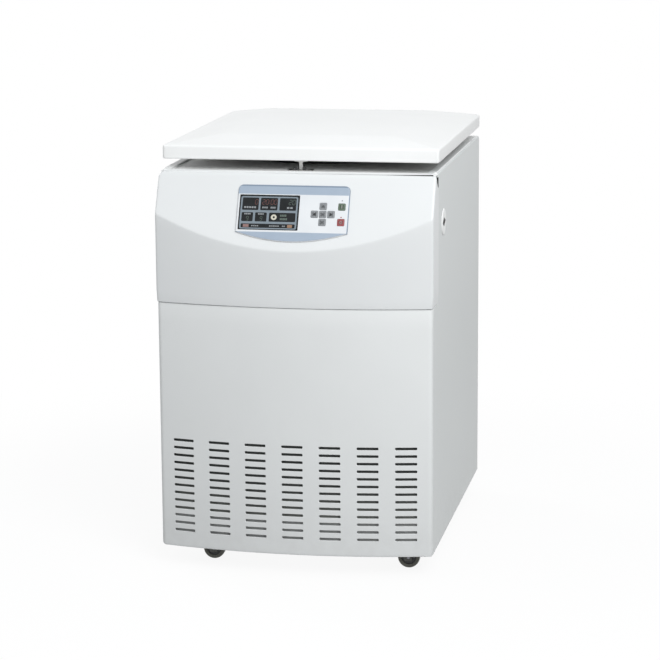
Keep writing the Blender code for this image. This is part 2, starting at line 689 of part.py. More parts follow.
def build_rotor(alloy, inox):
    """Cross yoke with trunnion pins, its clamping nut, and the buckets that swing on the pins."""
    centre = Vector((0.0, CHAMBER_Y, 0.0))
    gap_face = BUCKET_RADIUS + TRUNNION_BOSS + RUNNING_GAP
    far_face = gap_face + YOKE_BLOCK
    half_block = YOKE_BLOCK_HEIGHT / 2
    hub = rod(YOKE_HUB_RADIUS, HUB_BASE_Z, HUB_TOP_Z, (0.0, 0.0, 0.0), steps=24)
    pin_tip = BUCKET_RADIUS + TRUNNION_BOSS / 4
    pin_root = gap_face + TRUNNION_BOSS
    yoke = hub
    for k in range(BUCKET_COUNT):
        turn = Matrix.Rotation(2 * pi * k / BUCKET_COUNT, 4, "Z")
        chamfer = YOKE_BLOCK / 3
        corner = [(gap_face, gap_face), (far_face, gap_face), (far_face, far_face - chamfer),
                  (far_face - chamfer, far_face), (gap_face, far_face)]
        block = prism(corner, "z", PIN_Z - half_block, PIN_Z + half_block)
        reach = gap_face + YOKE_ARM_WIDTH / 2
        slant = YOKE_ARM_WIDTH / 4
        arm = prism([(slant, -slant), (reach + slant, reach - slant), (reach - slant, reach + slant),
                     (-slant, slant)], "z", PIN_Z - half_block / 2, PIN_Z + half_block / 2)
        along_y = rod(TRUNNION_RADIUS, pin_tip, pin_root, (BUCKET_PIN_DISTANCE, 0.0, PIN_Z), "y", steps=12)
        along_x = rod(TRUNNION_RADIUS, pin_tip, pin_root, (0.0, BUCKET_PIN_DISTANCE, PIN_Z), "x", steps=12)
        for part in (block, arm, along_y, along_x):
            part.transform(turn)
            yoke = join(yoke, part)
    bore = SHAFT_NOSE_RADIUS + FIT
    yoke = cut(yoke, rod(bore, HUB_BASE_Z - SHEET, HUB_TOP_Z + SHEET, (0.0, 0.0, 0.0), steps=24))
    bmesh.ops.translate(yoke, vec=centre, verts=yoke.verts)
    add_piece("rotor_yoke", yoke, alloy, pivot=centre)
    nut_base = HUB_TOP_Z + FIT
    nut_top = nut_base + NUT_HEIGHT
    bore_top = HUB_TOP_Z + NUT_HEIGHT / 2 + FIT
    nut = [(bore, nut_base), (NUT_RADIUS, nut_base), (NUT_RADIUS, nut_top), (0.0, nut_top), (0.0, bore_top),
           (bore, bore_top)]
    add_piece("rotor_nut", lathe(nut, centre, steps=16), inox, pivot=centre)
    for k in range(BUCKET_COUNT):
        bucket = build_bucket()
        frame = bucket_frame(k)
        bucket.transform(frame)
        pivot = frame @ Vector((BUCKET_PIN_DISTANCE, 0.0, PIN_Z))
        add_piece(f"bucket_{k + 1}", bucket, inox, pivot=pivot, smooth=True)


def build_bucket():
    """Round cup on +X with a bored boss on either side for the trunnion pins."""
    inner = BUCKET_RADIUS - BUCKET_WALL
    base = PIN_Z - BUCKET_BELOW_PIN
    top = PIN_Z + BUCKET_ABOVE_PIN
    centre = (BUCKET_PIN_DISTANCE, 0.0, 0.0)
    can = rod(BUCKET_RADIUS, base, top, centre, steps=24)
    half = TRUNNION_BOSS_HALF
    reach = BUCKET_RADIUS + TRUNNION_BOSS
    ears = box((BUCKET_PIN_DISTANCE - half, -reach, PIN_Z - half),
               (BUCKET_PIN_DISTANCE + half, reach, PIN_Z + half))
    cup = rod(inner, base + BUCKET_FLOOR, top + SHEET, centre, steps=24)
    pivot = (BUCKET_PIN_DISTANCE, 0.0, PIN_Z)
    depth = BUCKET_RADIUS + TRUNNION_BOSS / 4 - FIT
    bores = gather([rod(TRUNNION_RADIUS + FIT, side * depth, side * (reach + SHEET), pivot, "y", steps=12)
                    for side in (-1, 1)])
    bmesh.ops.recalc_face_normals(bores, faces=bores.faces)
    return cut(join(can, ears), cup, bores)


def build_lid(paint, inox, steel):
    """Lid shell with its low hipped top, the flat liner that closes it, and the striker loop."""
    pivot = Vector((0.0, HINGE_Y, HINGE_Z))
    band_z = LID_BOTTOM_Z + LID_BAND
    top_z = band_z + LID_RISE

    def hull(inset, bottom):
        """Convex body of the lid moved inward by an inset, from a bottom level up."""
        x = HALF_WIDTH - inset
        front = LID_FRONT_Y + inset
        rear = LID_REAR_Y - inset
        px = HALF_WIDTH - PLATEAU_SIDE_INSET
        p_front = LID_FRONT_Y + PLATEAU_FRONT_INSET
        p_rear = LID_REAR_Y - PLATEAU_REAR_INSET
        mesh = bmesh.new()
        for z in (bottom, band_z - inset):
            for corner in ((-x, front), (x, front), (x, rear), (-x, rear)):
                mesh.verts.new((*corner, z))
        for corner in ((-px, p_front), (px, p_front), (px, p_rear), (-px, p_rear)):
            mesh.verts.new((*corner, top_z - inset))
        bmesh.ops.convex_hull(mesh, input=mesh.verts)
        bmesh.ops.recalc_face_normals(mesh, faces=mesh.faces)
        return mesh

    shell = cut(hull(0.0, LID_BOTTOM_Z), hull(LID_WALL, LID_BOTTOM_Z - SHEET))
    add_piece("lid_shell", shell, paint, pivot=pivot)
    edge = LID_WALL + FIT
    liner = box((-HALF_WIDTH + edge, LID_FRONT_Y + edge, LID_BOTTOM_Z),
                (HALF_WIDTH - edge, LID_REAR_Y - edge, LID_BOTTOM_Z + LINER_THICKNESS))
    add_piece("lid_liner", liner, inox, pivot=pivot)
    half = STRIKER_WIDTH / 2
    bar = STRIKER_BAR / 2
    low = STRIKER_BAR_TOP_Z - STRIKER_BAR
    high = LID_BOTTOM_Z - FIT
    loop = box((-half, STRIKER_Y - bar, low), (half, STRIKER_Y + bar, high))
    window = box((-half + STRIKER_BAR, STRIKER_Y - STRIKER_BAR, STRIKER_BAR_TOP_Z),
                 (half - STRIKER_BAR, STRIKER_Y + STRIKER_BAR, high - STRIKER_BAR))
    add_piece("lid_striker", cut(loop, window), steel, pivot=pivot)


def build_hinges(steel, spring_steel):
    """Two lid hinges: a bracket with its pin on the deck, an ear on the lid and a coiled spring."""
    pivot = Vector((0.0, HINGE_Y, HINGE_Z))
    leaf_z = DECK_TOP_Z + FIT
    lid_leaf_z = LID_BOTTOM_Z - FIT
    spring_room = SPRING_TURNS * SPRING_PITCH + SPRING_WIRE + 2 * FIT
    width = 2 * HINGE_LUG + HINGE_EAR + spring_room + 2 * FIT
    for side, name in ((-1, "left"), (1, "right")):
        outer = side * HINGE_X + side * width / 2

        def station(distance):
            """X at a distance from the hinge's outer end toward the machine's middle."""
            return outer - side * distance

        def knuckle(start, length):
            """Round knuckle around the hinge axis."""
            ends = sorted((station(start), station(start + length)))
            return rod(HINGE_KNUCKLE_RADIUS, ends[0], ends[1], (0.0, HINGE_Y, HINGE_Z), "x", steps=16)

        def slab(start, length, y0, y1, z0, z1):
            """Block between two stations along the hinge."""
            ends = sorted((station(start), station(start + length)))
            return box((ends[0], y0, z0), (ends[1], y1, z1))

        half = HINGE_KNUCKLE_RADIUS
        leaf_front = HINGE_Y + half - HINGE_LEAF_DEPTH
        second = HINGE_LUG + HINGE_EAR + spring_room + 2 * FIT
        bracket = slab(0.0, width, leaf_front, HINGE_Y + half, leaf_z, leaf_z + HINGE_LEAF)
        for start in (0.0, second):
            web = slab(start, HINGE_LUG, HINGE_Y - half, HINGE_Y + half, leaf_z + HINGE_LEAF / 2, HINGE_Z)
            bracket = join(bracket, web, knuckle(start, HINGE_LUG))
        ends = sorted((station(HINGE_LUG / 2), station(width - HINGE_LUG / 2)))
        pin = rod(HINGE_PIN_RADIUS, ends[0], ends[1], (0.0, HINGE_Y, HINGE_Z), "x", steps=16)
        add_piece(f"hinge_bracket_{name}", join(bracket, pin), steel)
        start = HINGE_LUG + FIT
        web_front = HINGE_Y - half
        ear = slab(start, HINGE_EAR, web_front, HINGE_Y, HINGE_Z, lid_leaf_z - HINGE_LEAF / 2)
        leaf = slab(start, HINGE_EAR, leaf_front, HINGE_Y, lid_leaf_z - HINGE_LEAF, lid_leaf_z)
        ear = join(knuckle(start, HINGE_EAR), ear, leaf)
        bore_ends = sorted((station(0.0), station(width)))
        bore = rod(HINGE_PIN_RADIUS + FIT, bore_ends[0], bore_ends[1], (0.0, HINGE_Y, HINGE_Z), "x", steps=16)
        add_piece(f"lid_hinge_{name}", cut(ear, bore), steel, pivot=pivot)
        spring_start = HINGE_LUG + HINGE_EAR + 2 * FIT + SPRING_WIRE / 2 + FIT
        spring = build_spring(station(spring_start), -side, leaf_z + HINGE_LEAF + FIT, lid_leaf_z)
        add_piece(f"torsion_spring_{name}", spring, spring_steel, smooth=True)


def build_spring(start_x, direction, foot_z, head_z):
    """Coil around the hinge pin: a leg up from the bracket, whole turns, and a leg up to the lid."""
    slack = 1 / cos(pi / SPRING_POINTS)
    radius = (HINGE_PIN_RADIUS + FIT + SPRING_WIRE / 2) * slack
    points = [Vector((start_x, HINGE_Y - radius, foot_z))]
    for k in range(SPRING_TURNS * SPRING_POINTS + 1):
        angle = pi - 2 * pi * k / SPRING_POINTS
        x = start_x + direction * SPRING_PITCH * k / SPRING_POINTS
        points.append(Vector((x, HINGE_Y + radius * cos(angle), HINGE_Z + radius * sin(angle))))
    points.append(Vector((points[-1].x, HINGE_Y - radius, head_z)))
    gap = least_gap(points, SPRING_WIRE / 2, SPRING_POINTS // 2)
    print("torsion_spring least gap to itself", round(gap, 5))
    return sweep(points, SPRING_WIRE / 2, 6)


def build_latch(steel, plastic, paint):
    """Latch hook on its cross shaft, shown released, with the lock drive and the key escutcheon."""
    axis = Vector((0.0, RELEASE_Y, RELEASE_Z))
    inner_y = STRIKER_Y + STRIKER_BAR / 2 + RUNNING_GAP * 2
    nose_under = STRIKER_BAR_TOP_Z + RUNNING_GAP
    nose_top = nose_under + STRIKER_BAR
    rear_y = inner_y + RELEASE_SHAFT_RADIUS
    boss = 2 * RELEASE_SHAFT_RADIUS
    outline = [(RELEASE_Y - boss, RELEASE_Z), (inner_y, nose_under), (inner_y - HOOK_NOSE, nose_under),
               (inner_y - HOOK_NOSE, nose_under + STRIKER_BAR / 2), (rear_y, nose_top),
               (RELEASE_Y + boss / 2, RELEASE_Z + boss / 2), (RELEASE_Y, RELEASE_Z - boss)]
    hook = prism(outline, "x", -HOOK_WIDTH / 2, HOOK_WIDTH / 2)
    tip = HALF_WIDTH + ESCUTCHEON_THICKNESS / 2
    shaft = rod(RELEASE_SHAFT_RADIUS, -HOOK_WIDTH, tip, axis, "x", steps=12)
    latch = join(hook, shaft)
    release = Matrix.Rotation(-HOOK_RELEASE_ANGLE, 4, "X")
    latch.transform(Matrix.Translation(axis) @ release @ Matrix.Translation(-axis))
    add_piece("latch_hook", latch, steel, pivot=axis)
    half = LOCK_MOTOR_SIZE / 2
    x0 = HOOK_WIDTH / 2 + LOCK_MOTOR_OFFSET
    x1 = x0 + LOCK_MOTOR_LENGTH
    body = box((x0, RELEASE_Y - half, RELEASE_Z - half), (x1, RELEASE_Y + half / 2, RELEASE_Z + half))
    strap = box((x0, RELEASE_Y - half, RELEASE_Z), (x1, RELEASE_Y - half + SHEET, DECK_UNDER_Z - FIT))
    foot = box((x0, RELEASE_Y - half, DECK_UNDER_Z - FIT - SHEET), (x1, RELEASE_Y, DECK_UNDER_Z - FIT))
    bore = rod(RELEASE_SHAFT_RADIUS + FIT, x0 - SHEET, x1 + SHEET, axis, "x", steps=12)
    add_piece("lock_motor", cut(join(body, strap, foot), bore), plastic)
    face = HALF_WIDTH + FIT
    keyhole = KEYHOLE_RADIUS
    rim = ESCUTCHEON_RADIUS - ESCUTCHEON_THICKNESS
    plate = [(keyhole, face), (ESCUTCHEON_RADIUS, face), (rim, face + ESCUTCHEON_THICKNESS),
             (keyhole, face + ESCUTCHEON_THICKNESS)]
    add_piece("release_escutcheon", lathe(plate, axis, "x", steps=24), paint, smooth=True)


def build_cooling(dark, bright, plastic, steel):
    """Compressor, condenser, the bracket behind it and the fan that turns on the bracket's pin."""
    x = -(INNER_HALF - COMPRESSOR_SIDE_GAP - COMPRESSOR_FOOT - COMPRESSOR_RADIUS)
    place = (x, CORNER_Y + COMPRESSOR_SETBACK, UNIT_BASE_Z)
    shoulder = COMPRESSOR_RADIUS / 2
    foot = COMPRESSOR_FOOT
    radius = COMPRESSOR_RADIUS
    can = [(0.0, 0.0), (radius + foot, 0.0), (radius + foot, foot), (radius, foot),
           (radius, COMPRESSOR_HEIGHT - shoulder), (radius * 0.85, COMPRESSOR_HEIGHT - shoulder / 3),
           (radius / 2, COMPRESSOR_HEIGHT), (0.0, COMPRESSOR_HEIGHT)]
    add_piece("compressor", lathe(can, place), dark, smooth=True)
    half = CONDENSER_WIDTH / 2
    block = box((-half, CONDENSER_Y, UNIT_BASE_Z),
                (half, CONDENSER_Y + CONDENSER_DEPTH, UNIT_BASE_Z + CONDENSER_HEIGHT))
    add_piece("condenser", block, bright)
    axis = Vector((0.0, FAN_Y, FAN_Z))
    plate_y = FAN_Y + FAN_HUB_DEPTH + FIT
    plate_back = plate_y + BRACKET_THICKNESS
    half = BRACKET_WIDTH / 2
    upright = box((-half, plate_y, UNIT_BASE_Z), (half, plate_back, FAN_Z + half))
    foot = box((-half, plate_y, UNIT_BASE_Z),
               (half, plate_y + BRACKET_FOOT, UNIT_BASE_Z + BRACKET_THICKNESS))
    hub = (0.0, 0.0, FAN_Z)
    pin_tip = plate_y - FAN_PIN_LENGTH
    pin = rod(FAN_PIN_RADIUS, pin_tip, plate_y + BRACKET_THICKNESS / 2, hub, "y", 12)
    add_piece("fan_bracket", join(upright, foot, pin), steel)
    fan = rod(FAN_HUB_RADIUS, FAN_Y, FAN_Y + FAN_HUB_DEPTH, hub, "y")
    for k in range(FAN_BLADES):
        blade = box((-FAN_BLADE_WIDTH / 2, -FAN_BLADE_THICKNESS / 2, FAN_HUB_RADIUS / 2),
                    (FAN_BLADE_WIDTH / 2, FAN_BLADE_THICKNESS / 2, FAN_RADIUS))
        blade.transform(Matrix.Rotation(FAN_BLADE_PITCH, 4, "Z"))
        blade.transform(Matrix.Rotation(2 * pi * k / FAN_BLADES, 4, "Y"))
        bmesh.ops.translate(blade, vec=axis + Vector((0.0, FAN_HUB_DEPTH / 2, 0.0)), verts=blade.verts)
        fan = join(fan, blade)
    socket = rod(FAN_PIN_RADIUS + FIT, pin_tip - FIT, plate_back, hub, "y", 12)
    add_piece("fan_rotor", cut(fan, socket), plastic, pivot=axis)


def build_power(plastic, dark):
    """Inverter box on the base plate, rocker switch and cable gland in the rear panel."""
    x1 = INNER_HALF - INVERTER_SIDE_GAP
    y0 = CORNER_Y + INVERTER_SETBACK - INVERTER_DEPTH / 2
    unit = box((x1 - INVERTER_WIDTH, y0, UNIT_BASE_Z),
               (x1, y0 + INVERTER_DEPTH, UNIT_BASE_Z + INVERTER_HEIGHT))
    add_piece("inverter_box", unit, dark)
    pivot = Vector((REAR_FITTING_X, REAR_Y - SHEET / 2, SWITCH_Z))
    half_x = SWITCH_WIDTH / 2
    half_z = SWITCH_HEIGHT / 2
    half_y = SWITCH_THICKNESS / 2
    dip = SWITCH_THICKNESS / 5
    outline = [(-half_y, -half_z), (half_y, -half_z), (half_y - dip, 0.0), (half_y, half_z),
               (-half_y, half_z)]
    rocker = prism(outline, "x", -half_x, half_x)
    rocker.transform(Matrix.Translation(pivot) @ Matrix.Rotation(-SWITCH_TILT, 4, "X"))
    add_piece("mains_switch", rocker, plastic, pivot=pivot)
    collar_end = GLAND_PROUD / 2
    gland = [(GLAND_BORE_RADIUS, -GLAND_DEPTH), (GLAND_RADIUS, -GLAND_DEPTH), (GLAND_RADIUS, FIT),
             (GLAND_COLLAR_RADIUS, FIT), (GLAND_COLLAR_RADIUS, collar_end), (GLAND_RADIUS, collar_end),
             (GLAND_RADIUS, GLAND_PROUD * 0.8), (GLAND_BORE_RADIUS * 1.3, GLAND_PROUD),
             (GLAND_BORE_RADIUS, GLAND_PROUD)]
    place = (REAR_FITTING_X, REAR_Y, GLAND_Z)
    add_piece("cable_gland", lathe(gland, place, "y", steps=12), plastic, smooth=True)


def build_controls(trim, glass, grey, green, red):
    """Bezel, display window and keys in a frame that lies on the tilted facet.

    In the frame X runs right, Y up the slope and Z out of the facet, from the middle of its top edge.
    """
    up = Vector((0.0, sin(FACET_TILT), cos(FACET_TILT)))
    out = Vector((0.0, -cos(FACET_TILT), sin(FACET_TILT)))
    matrix = Matrix.Translation((0.0, FACET_TOP_Y, PANEL_TOP_Z)) @ Matrix(
        ((1.0, up.x, out.x), (0.0, up.y, out.y), (0.0, up.z, out.z))).to_4x4()
    frame = add_frame("control_panel_frame", matrix)
    half = BEZEL_WIDTH / 2
    top = -BEZEL_TOP_MARGIN
    low = top - BEZEL_SIDE_HEIGHT
    arc = [(half * (2 * k / BEZEL_ARC_STEPS - 1), low - BEZEL_SAG * (1 - (2 * k / BEZEL_ARC_STEPS - 1) ** 2))
           for k in range(BEZEL_ARC_STEPS + 1)]
    c = BEZEL_CORNER
    corner = [(half, top - c), (half - c * 0.3, top - c * 0.3), (half - c, top), (-half + c, top),
              (-half + c * 0.3, top - c * 0.3), (-half, top - c)]
    plate = prism(arc + corner, "z", FIT, FIT + BEZEL_THICKNESS)
    win_left = -half + WINDOW_MARGIN_X
    win_top = top - WINDOW_MARGIN_TOP
    window = ((win_left, win_top - WINDOW_HEIGHT), (win_left + WINDOW_WIDTH, win_top))
    holes = [box((window[0][0] - FIT, window[0][1] - FIT, -FIT),
                 (window[1][0] + FIT, window[1][1] + FIT, 2 * BEZEL_THICKNESS))]
    pad_x = window[1][0] + KEYPAD_MARGIN + KEYPAD_SPAN / 2
    pad_y = win_top - WINDOW_HEIGHT / 2 - KEYPAD_DROP
    push_x = half - BEZEL_END_MARGIN - KEY_SIZE / 2
    keys = {"key_up": (pad_x, pad_y + KEY_PITCH, grey), "key_left": (pad_x - KEY_PITCH, pad_y, grey),
            "key_enter": (pad_x, pad_y, grey), "key_right": (pad_x + KEY_PITCH, pad_y, grey),
            "key_down": (pad_x, pad_y - KEY_PITCH, grey),
            "key_start": (push_x, pad_y + PUSH_SPACING / 2, green),
            "key_stop": (push_x, pad_y - PUSH_SPACING / 2, red)}
    radius = KEY_SIZE / 6
    for name, (x, y, finish) in keys.items():
        a = KEY_SIZE / 2
        b = a + FIT
        face = rounded_rectangle(x - a, x + a, y - a, y + a, radius, 2)
        add_piece(name, prism(face, "z", KEY_REST_GAP, KEY_REST_GAP + KEY_THICKNESS), finish,
                  pivot=(x, y, 0.0), frame=frame)
        well = rounded_rectangle(x - b, x + b, y - b, y + b, radius, 2)
        holes.append(prism(well, "z", -FIT, 2 * BEZEL_THICKNESS))
    add_piece("control_bezel", cut(plate, gather(holes)), trim, frame=frame)
    pane = box((*window[0], FIT), (*window[1], FIT + WINDOW_THICKNESS))
    add_piece("display_window", pane, glass, frame=frame)


def build_casters(steel, rubber):
    """Four swivel casters: a fork that turns under the base plate and a wheel with its axle."""
    xs = HALF_WIDTH - CASTER_INSET_X
    front = CORNER_Y + CASTER_FRONT_SETBACK
    rear = REAR_Y - CASTER_REAR_INSET
    places = {"front_left": (-xs, front), "front_right": (xs, front), "rear_left": (-xs, rear),
              "rear_right": (xs, rear)}
    cheek_in = WHEEL_WIDTH / 2 + RUNNING_GAP
    cheek_out = cheek_in + FORK_CHEEK
    for name, (x, y) in places.items():
        hub = Vector((x + CASTER_TRAIL, y, WHEEL_RADIUS))
        disc_under = FORK_TOP_Z - FORK_DISC_THICKNESS
        disc = rod(FORK_DISC_RADIUS, disc_under, FORK_TOP_Z, (x, y, 0.0), steps=24)
        low = WHEEL_RADIUS - 2 * AXLE_RADIUS
        top = FORK_TOP_Z - FORK_DISC_THICKNESS / 2
        half = FORK_DISC_RADIUS * 0.7
        outline = [(x - half, top), (x + half, top), (hub.x + 2 * AXLE_RADIUS, WHEEL_RADIUS + AXLE_RADIUS),
                   (hub.x + 2 * AXLE_RADIUS, low), (hub.x - 2 * AXLE_RADIUS, low),
                   (hub.x - 3 * AXLE_RADIUS, WHEEL_RADIUS + AXLE_RADIUS)]
        fork = join(disc, prism(outline, "y", y - cheek_out, y - cheek_in),
                    prism(outline, "y", y + cheek_in, y + cheek_out))
        fork = cut(fork, rod(AXLE_RADIUS + FIT, -WHEEL_WIDTH, WHEEL_WIDTH, hub, "y", steps=12))
        add_piece(f"caster_fork_{name}", fork, steel, pivot=(x, y, 0.0))
        # The flat sides of the tread stand off by the wheel radius, and one of them faces the floor.
        rim = WHEEL_RADIUS / cos(pi / WHEEL_SIDES)
        crown = rim - WHEEL_RADIUS / 10
        side = WHEEL_WIDTH / 2
        tread = side - WHEEL_RADIUS / 10
        profile = [(0.0, -cheek_out), (AXLE_RADIUS, -cheek_out), (AXLE_RADIUS, -side), (crown, -side),
                   (rim, -tread), (rim, tread), (crown, side), (AXLE_RADIUS, side),
                   (AXLE_RADIUS, cheek_out), (0.0, cheek_out)]
        wheel = lathe(profile, hub, "y", steps=WHEEL_SIDES, phase=pi / WHEEL_SIDES)
        add_piece(f"caster_wheel_{name}", wheel, rubber, pivot=hub, smooth=True)


def build_machine():
    """Make every finish and every piece."""
    clear_scene()
    white = make_material("white_enamel", (0.86, 0.88, 0.90), 0.35)
    cover = make_material("white_moulding", (0.90, 0.91, 0.93), 0.40)
    steel = make_material("zinc_steel", (0.55, 0.56, 0.57), 0.40, 0.9)
    inox = make_material("stainless", (0.68, 0.68, 0.67), 0.28, 1.0)
    alloy = make_material("anodised_alloy", (0.45, 0.47, 0.50), 0.35, 0.9)
    spring = make_material("spring_steel", (0.30, 0.30, 0.31), 0.35, 0.9)
    copper = make_material("copper_tube", (0.72, 0.42, 0.28), 0.30, 1.0)
    foam = make_material("foam", (0.78, 0.72, 0.50), 0.90)
    rubber = make_material("black_rubber", (0.04, 0.04, 0.04), 0.75)
    wheel_rubber = make_material("wheel_rubber", (0.10, 0.11, 0.09), 0.60)
    dark = make_material("dark_enamel", (0.05, 0.05, 0.06), 0.45)
    plastic = make_material("black_plastic", (0.07, 0.07, 0.08), 0.50)
    trim = make_material("blue_grey_trim", (0.42, 0.50, 0.61), 0.45)
    glass = make_material("display_glass", (0.05, 0.06, 0.08), 0.12)
    grey = make_material("grey_key", (0.45, 0.47, 0.50), 0.50)
    green = make_material("green_key", (0.10, 0.42, 0.20), 0.50)
    red = make_material("red_key", (0.62, 0.08, 0.07), 0.50)
    bright = make_material("fin_stock", (0.62, 0.63, 0.64), 0.45, 0.8)
    build_base_plate(steel)
    build_chassis_plate(steel)
    build_side_panels(white)
    build_rear_panel(white)
    build_lower_front_panel(white)
    build_upper_front_panel(cover)
    build_top_deck(white)
    build_chamber(steel, inox, foam, copper, rubber)
    build_drive(dark, rubber, inox)
    build_rotor(alloy, inox)
    build_lid(cover, inox, steel)
    build_hinges(steel, spring)
    build_latch(steel, plastic, white)
    build_cooling(dark, bright, plastic, steel)
    build_power(plastic, dark)
    build_controls(trim, glass, grey, green, red)
    build_casters(steel, wheel_rubber)


build_machine()
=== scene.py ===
"""Looks of a floor-standing refrigerated laboratory centrifuge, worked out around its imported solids.

Metres, +Z up, X to the viewer's right, the bowed front towards -Y, the origin on the floor below the middle.
"""
import json
from math import cos, pi, radians, sin, tan

import bmesh
import bpy
import numpy as np
from mathutils import Matrix, Vector
from mathutils.geometry import tessellate_polygon

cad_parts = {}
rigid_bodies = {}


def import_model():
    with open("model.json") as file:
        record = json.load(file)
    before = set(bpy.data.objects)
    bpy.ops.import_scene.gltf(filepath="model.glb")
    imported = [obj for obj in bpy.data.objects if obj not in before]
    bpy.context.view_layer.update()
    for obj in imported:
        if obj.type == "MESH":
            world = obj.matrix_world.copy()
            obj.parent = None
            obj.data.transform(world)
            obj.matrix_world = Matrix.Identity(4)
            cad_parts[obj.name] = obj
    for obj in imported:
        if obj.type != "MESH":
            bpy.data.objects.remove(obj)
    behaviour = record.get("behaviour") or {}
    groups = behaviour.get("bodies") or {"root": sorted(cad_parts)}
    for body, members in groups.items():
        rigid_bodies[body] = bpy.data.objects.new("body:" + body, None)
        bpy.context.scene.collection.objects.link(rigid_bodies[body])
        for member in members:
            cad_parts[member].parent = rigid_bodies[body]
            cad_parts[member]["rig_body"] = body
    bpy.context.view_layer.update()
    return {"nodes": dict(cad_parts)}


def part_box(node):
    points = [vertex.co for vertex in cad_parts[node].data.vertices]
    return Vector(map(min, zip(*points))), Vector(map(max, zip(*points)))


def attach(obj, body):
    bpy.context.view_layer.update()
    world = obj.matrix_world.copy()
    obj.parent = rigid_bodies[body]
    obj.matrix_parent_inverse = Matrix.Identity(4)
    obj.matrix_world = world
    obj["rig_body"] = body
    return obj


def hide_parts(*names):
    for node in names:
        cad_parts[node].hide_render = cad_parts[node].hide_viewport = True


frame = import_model()
scene = bpy.context.scene
scene.view_settings.view_transform = "Standard"


def middle(node):
    """Centre of a solid's box at rest."""
    low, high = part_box(node)
    return (low + high) / 2


# Sizes of the cabinet, most of them from the solids
LOWER_LOW, LOWER_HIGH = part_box("lower_front_panel")
UPPER_LOW, UPPER_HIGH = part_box("upper_front_panel")
LID_LOW, LID_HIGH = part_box("lid_shell")
REAR_LOW, REAR_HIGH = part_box("rear_panel")
BOWL_LOW, BOWL_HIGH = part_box("bowl")
BASE_LOW, BASE_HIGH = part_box("base_plate")
DECK_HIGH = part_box("top_deck")[1]
SWITCH = middle("mains_switch")
RELEASE = middle("release_escutcheon")
GLAND_Z = middle("cable_gland").z
STRIKER_Y = middle("lid_striker").y
CHAMBER_Y = middle("bowl").y
DRIVE_AXIS = (0.0, CHAMBER_Y, 0.0)
HALF = LOWER_HIGH.x
LOWER_WALL = 0.0025
CORNER_Y = LOWER_HIGH.y - LOWER_WALL
BOW = 0.0355
SKIRT_Z = LOWER_LOW.z
SHEET = 0.002
FIT = 0.0003
UPSTAND = 0.052
FILTER_GAP = 0.007
FACET_TILT = radians(26.0)
FACET_LOW_Z = 0.735
PROUD = UPPER_HIGH.x - HALF
APEX_Y = CORNER_Y - BOW - PROUD
PANEL_TOP_Z = UPPER_HIGH.z
FACET_TOP_Y = APEX_Y + (PANEL_TOP_Z - FACET_LOW_Z) * tan(FACET_TILT)
RETURN_REAR_Y = UPPER_HIGH.y
REAR_Y = REAR_HIGH.y
DECK_TOP_Z = DECK_HIGH.z

# Sizes of the controls, measured on the slope from its top edge
BEZEL_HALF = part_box("control_bezel")[1].x
BEZEL_TOP = -0.029
BEZEL_LOW = -0.138
BEZEL_SAG = 0.021
BEZEL_FACE = FIT + 0.004
WINDOW = (-0.11995, 0.01405, -0.133, -0.053)
PAD_X, PAD_Y, PITCH = 0.06755, -0.095, 0.0184
PUSH_X, PUSH_STEP = 0.10895, 0.0177
KEY = 0.0160
KEYS = {
    "key_up": (PAD_X, PAD_Y + PITCH),
    "key_left": (PAD_X - PITCH, PAD_Y),
    "key_enter": (PAD_X, PAD_Y),
    "key_right": (PAD_X + PITCH, PAD_Y),
    "key_down": (PAD_X, PAD_Y - PITCH),
    "key_start": (PUSH_X, PAD_Y + PUSH_STEP),
    "key_stop": (PUSH_X, PAD_Y - PUSH_STEP),
}

# Drawing planes, each an origin and its right, up and out directions
X, Y, Z = np.eye(3)
ORIGIN = np.zeros(3)
LEVEL = (ORIGIN, X, Y, Z)
FRONT_SIDE = (ORIGIN, X, Z, -Y)
RIGHT_SIDE = (ORIGIN, Y, Z, X)
LEFT_SIDE = (ORIGIN, -Y, Z, -X)
REAR_SIDE = (ORIGIN, -X, Z, Y)
SLOPE_UP = np.array([0.0, sin(FACET_TILT), cos(FACET_TILT)])
SLOPE_OUT = np.array([0.0, -cos(FACET_TILT), sin(FACET_TILT)])
CONTROLS = (np.array([0.0, FACET_TOP_Y, PANEL_TOP_Z]), X, SLOPE_UP, SLOPE_OUT)
SIDES = (("right", RIGHT_SIDE, 1), ("left", LEFT_SIDE, -1))

# Turning axes, each two directions across and one along
UPRIGHT = (X, Y, Z)
SIDEWAYS = (Y, Z, X)
WHEEL_AXIS = (Z, X, Y)
REARWARD = (X, Z, Y)


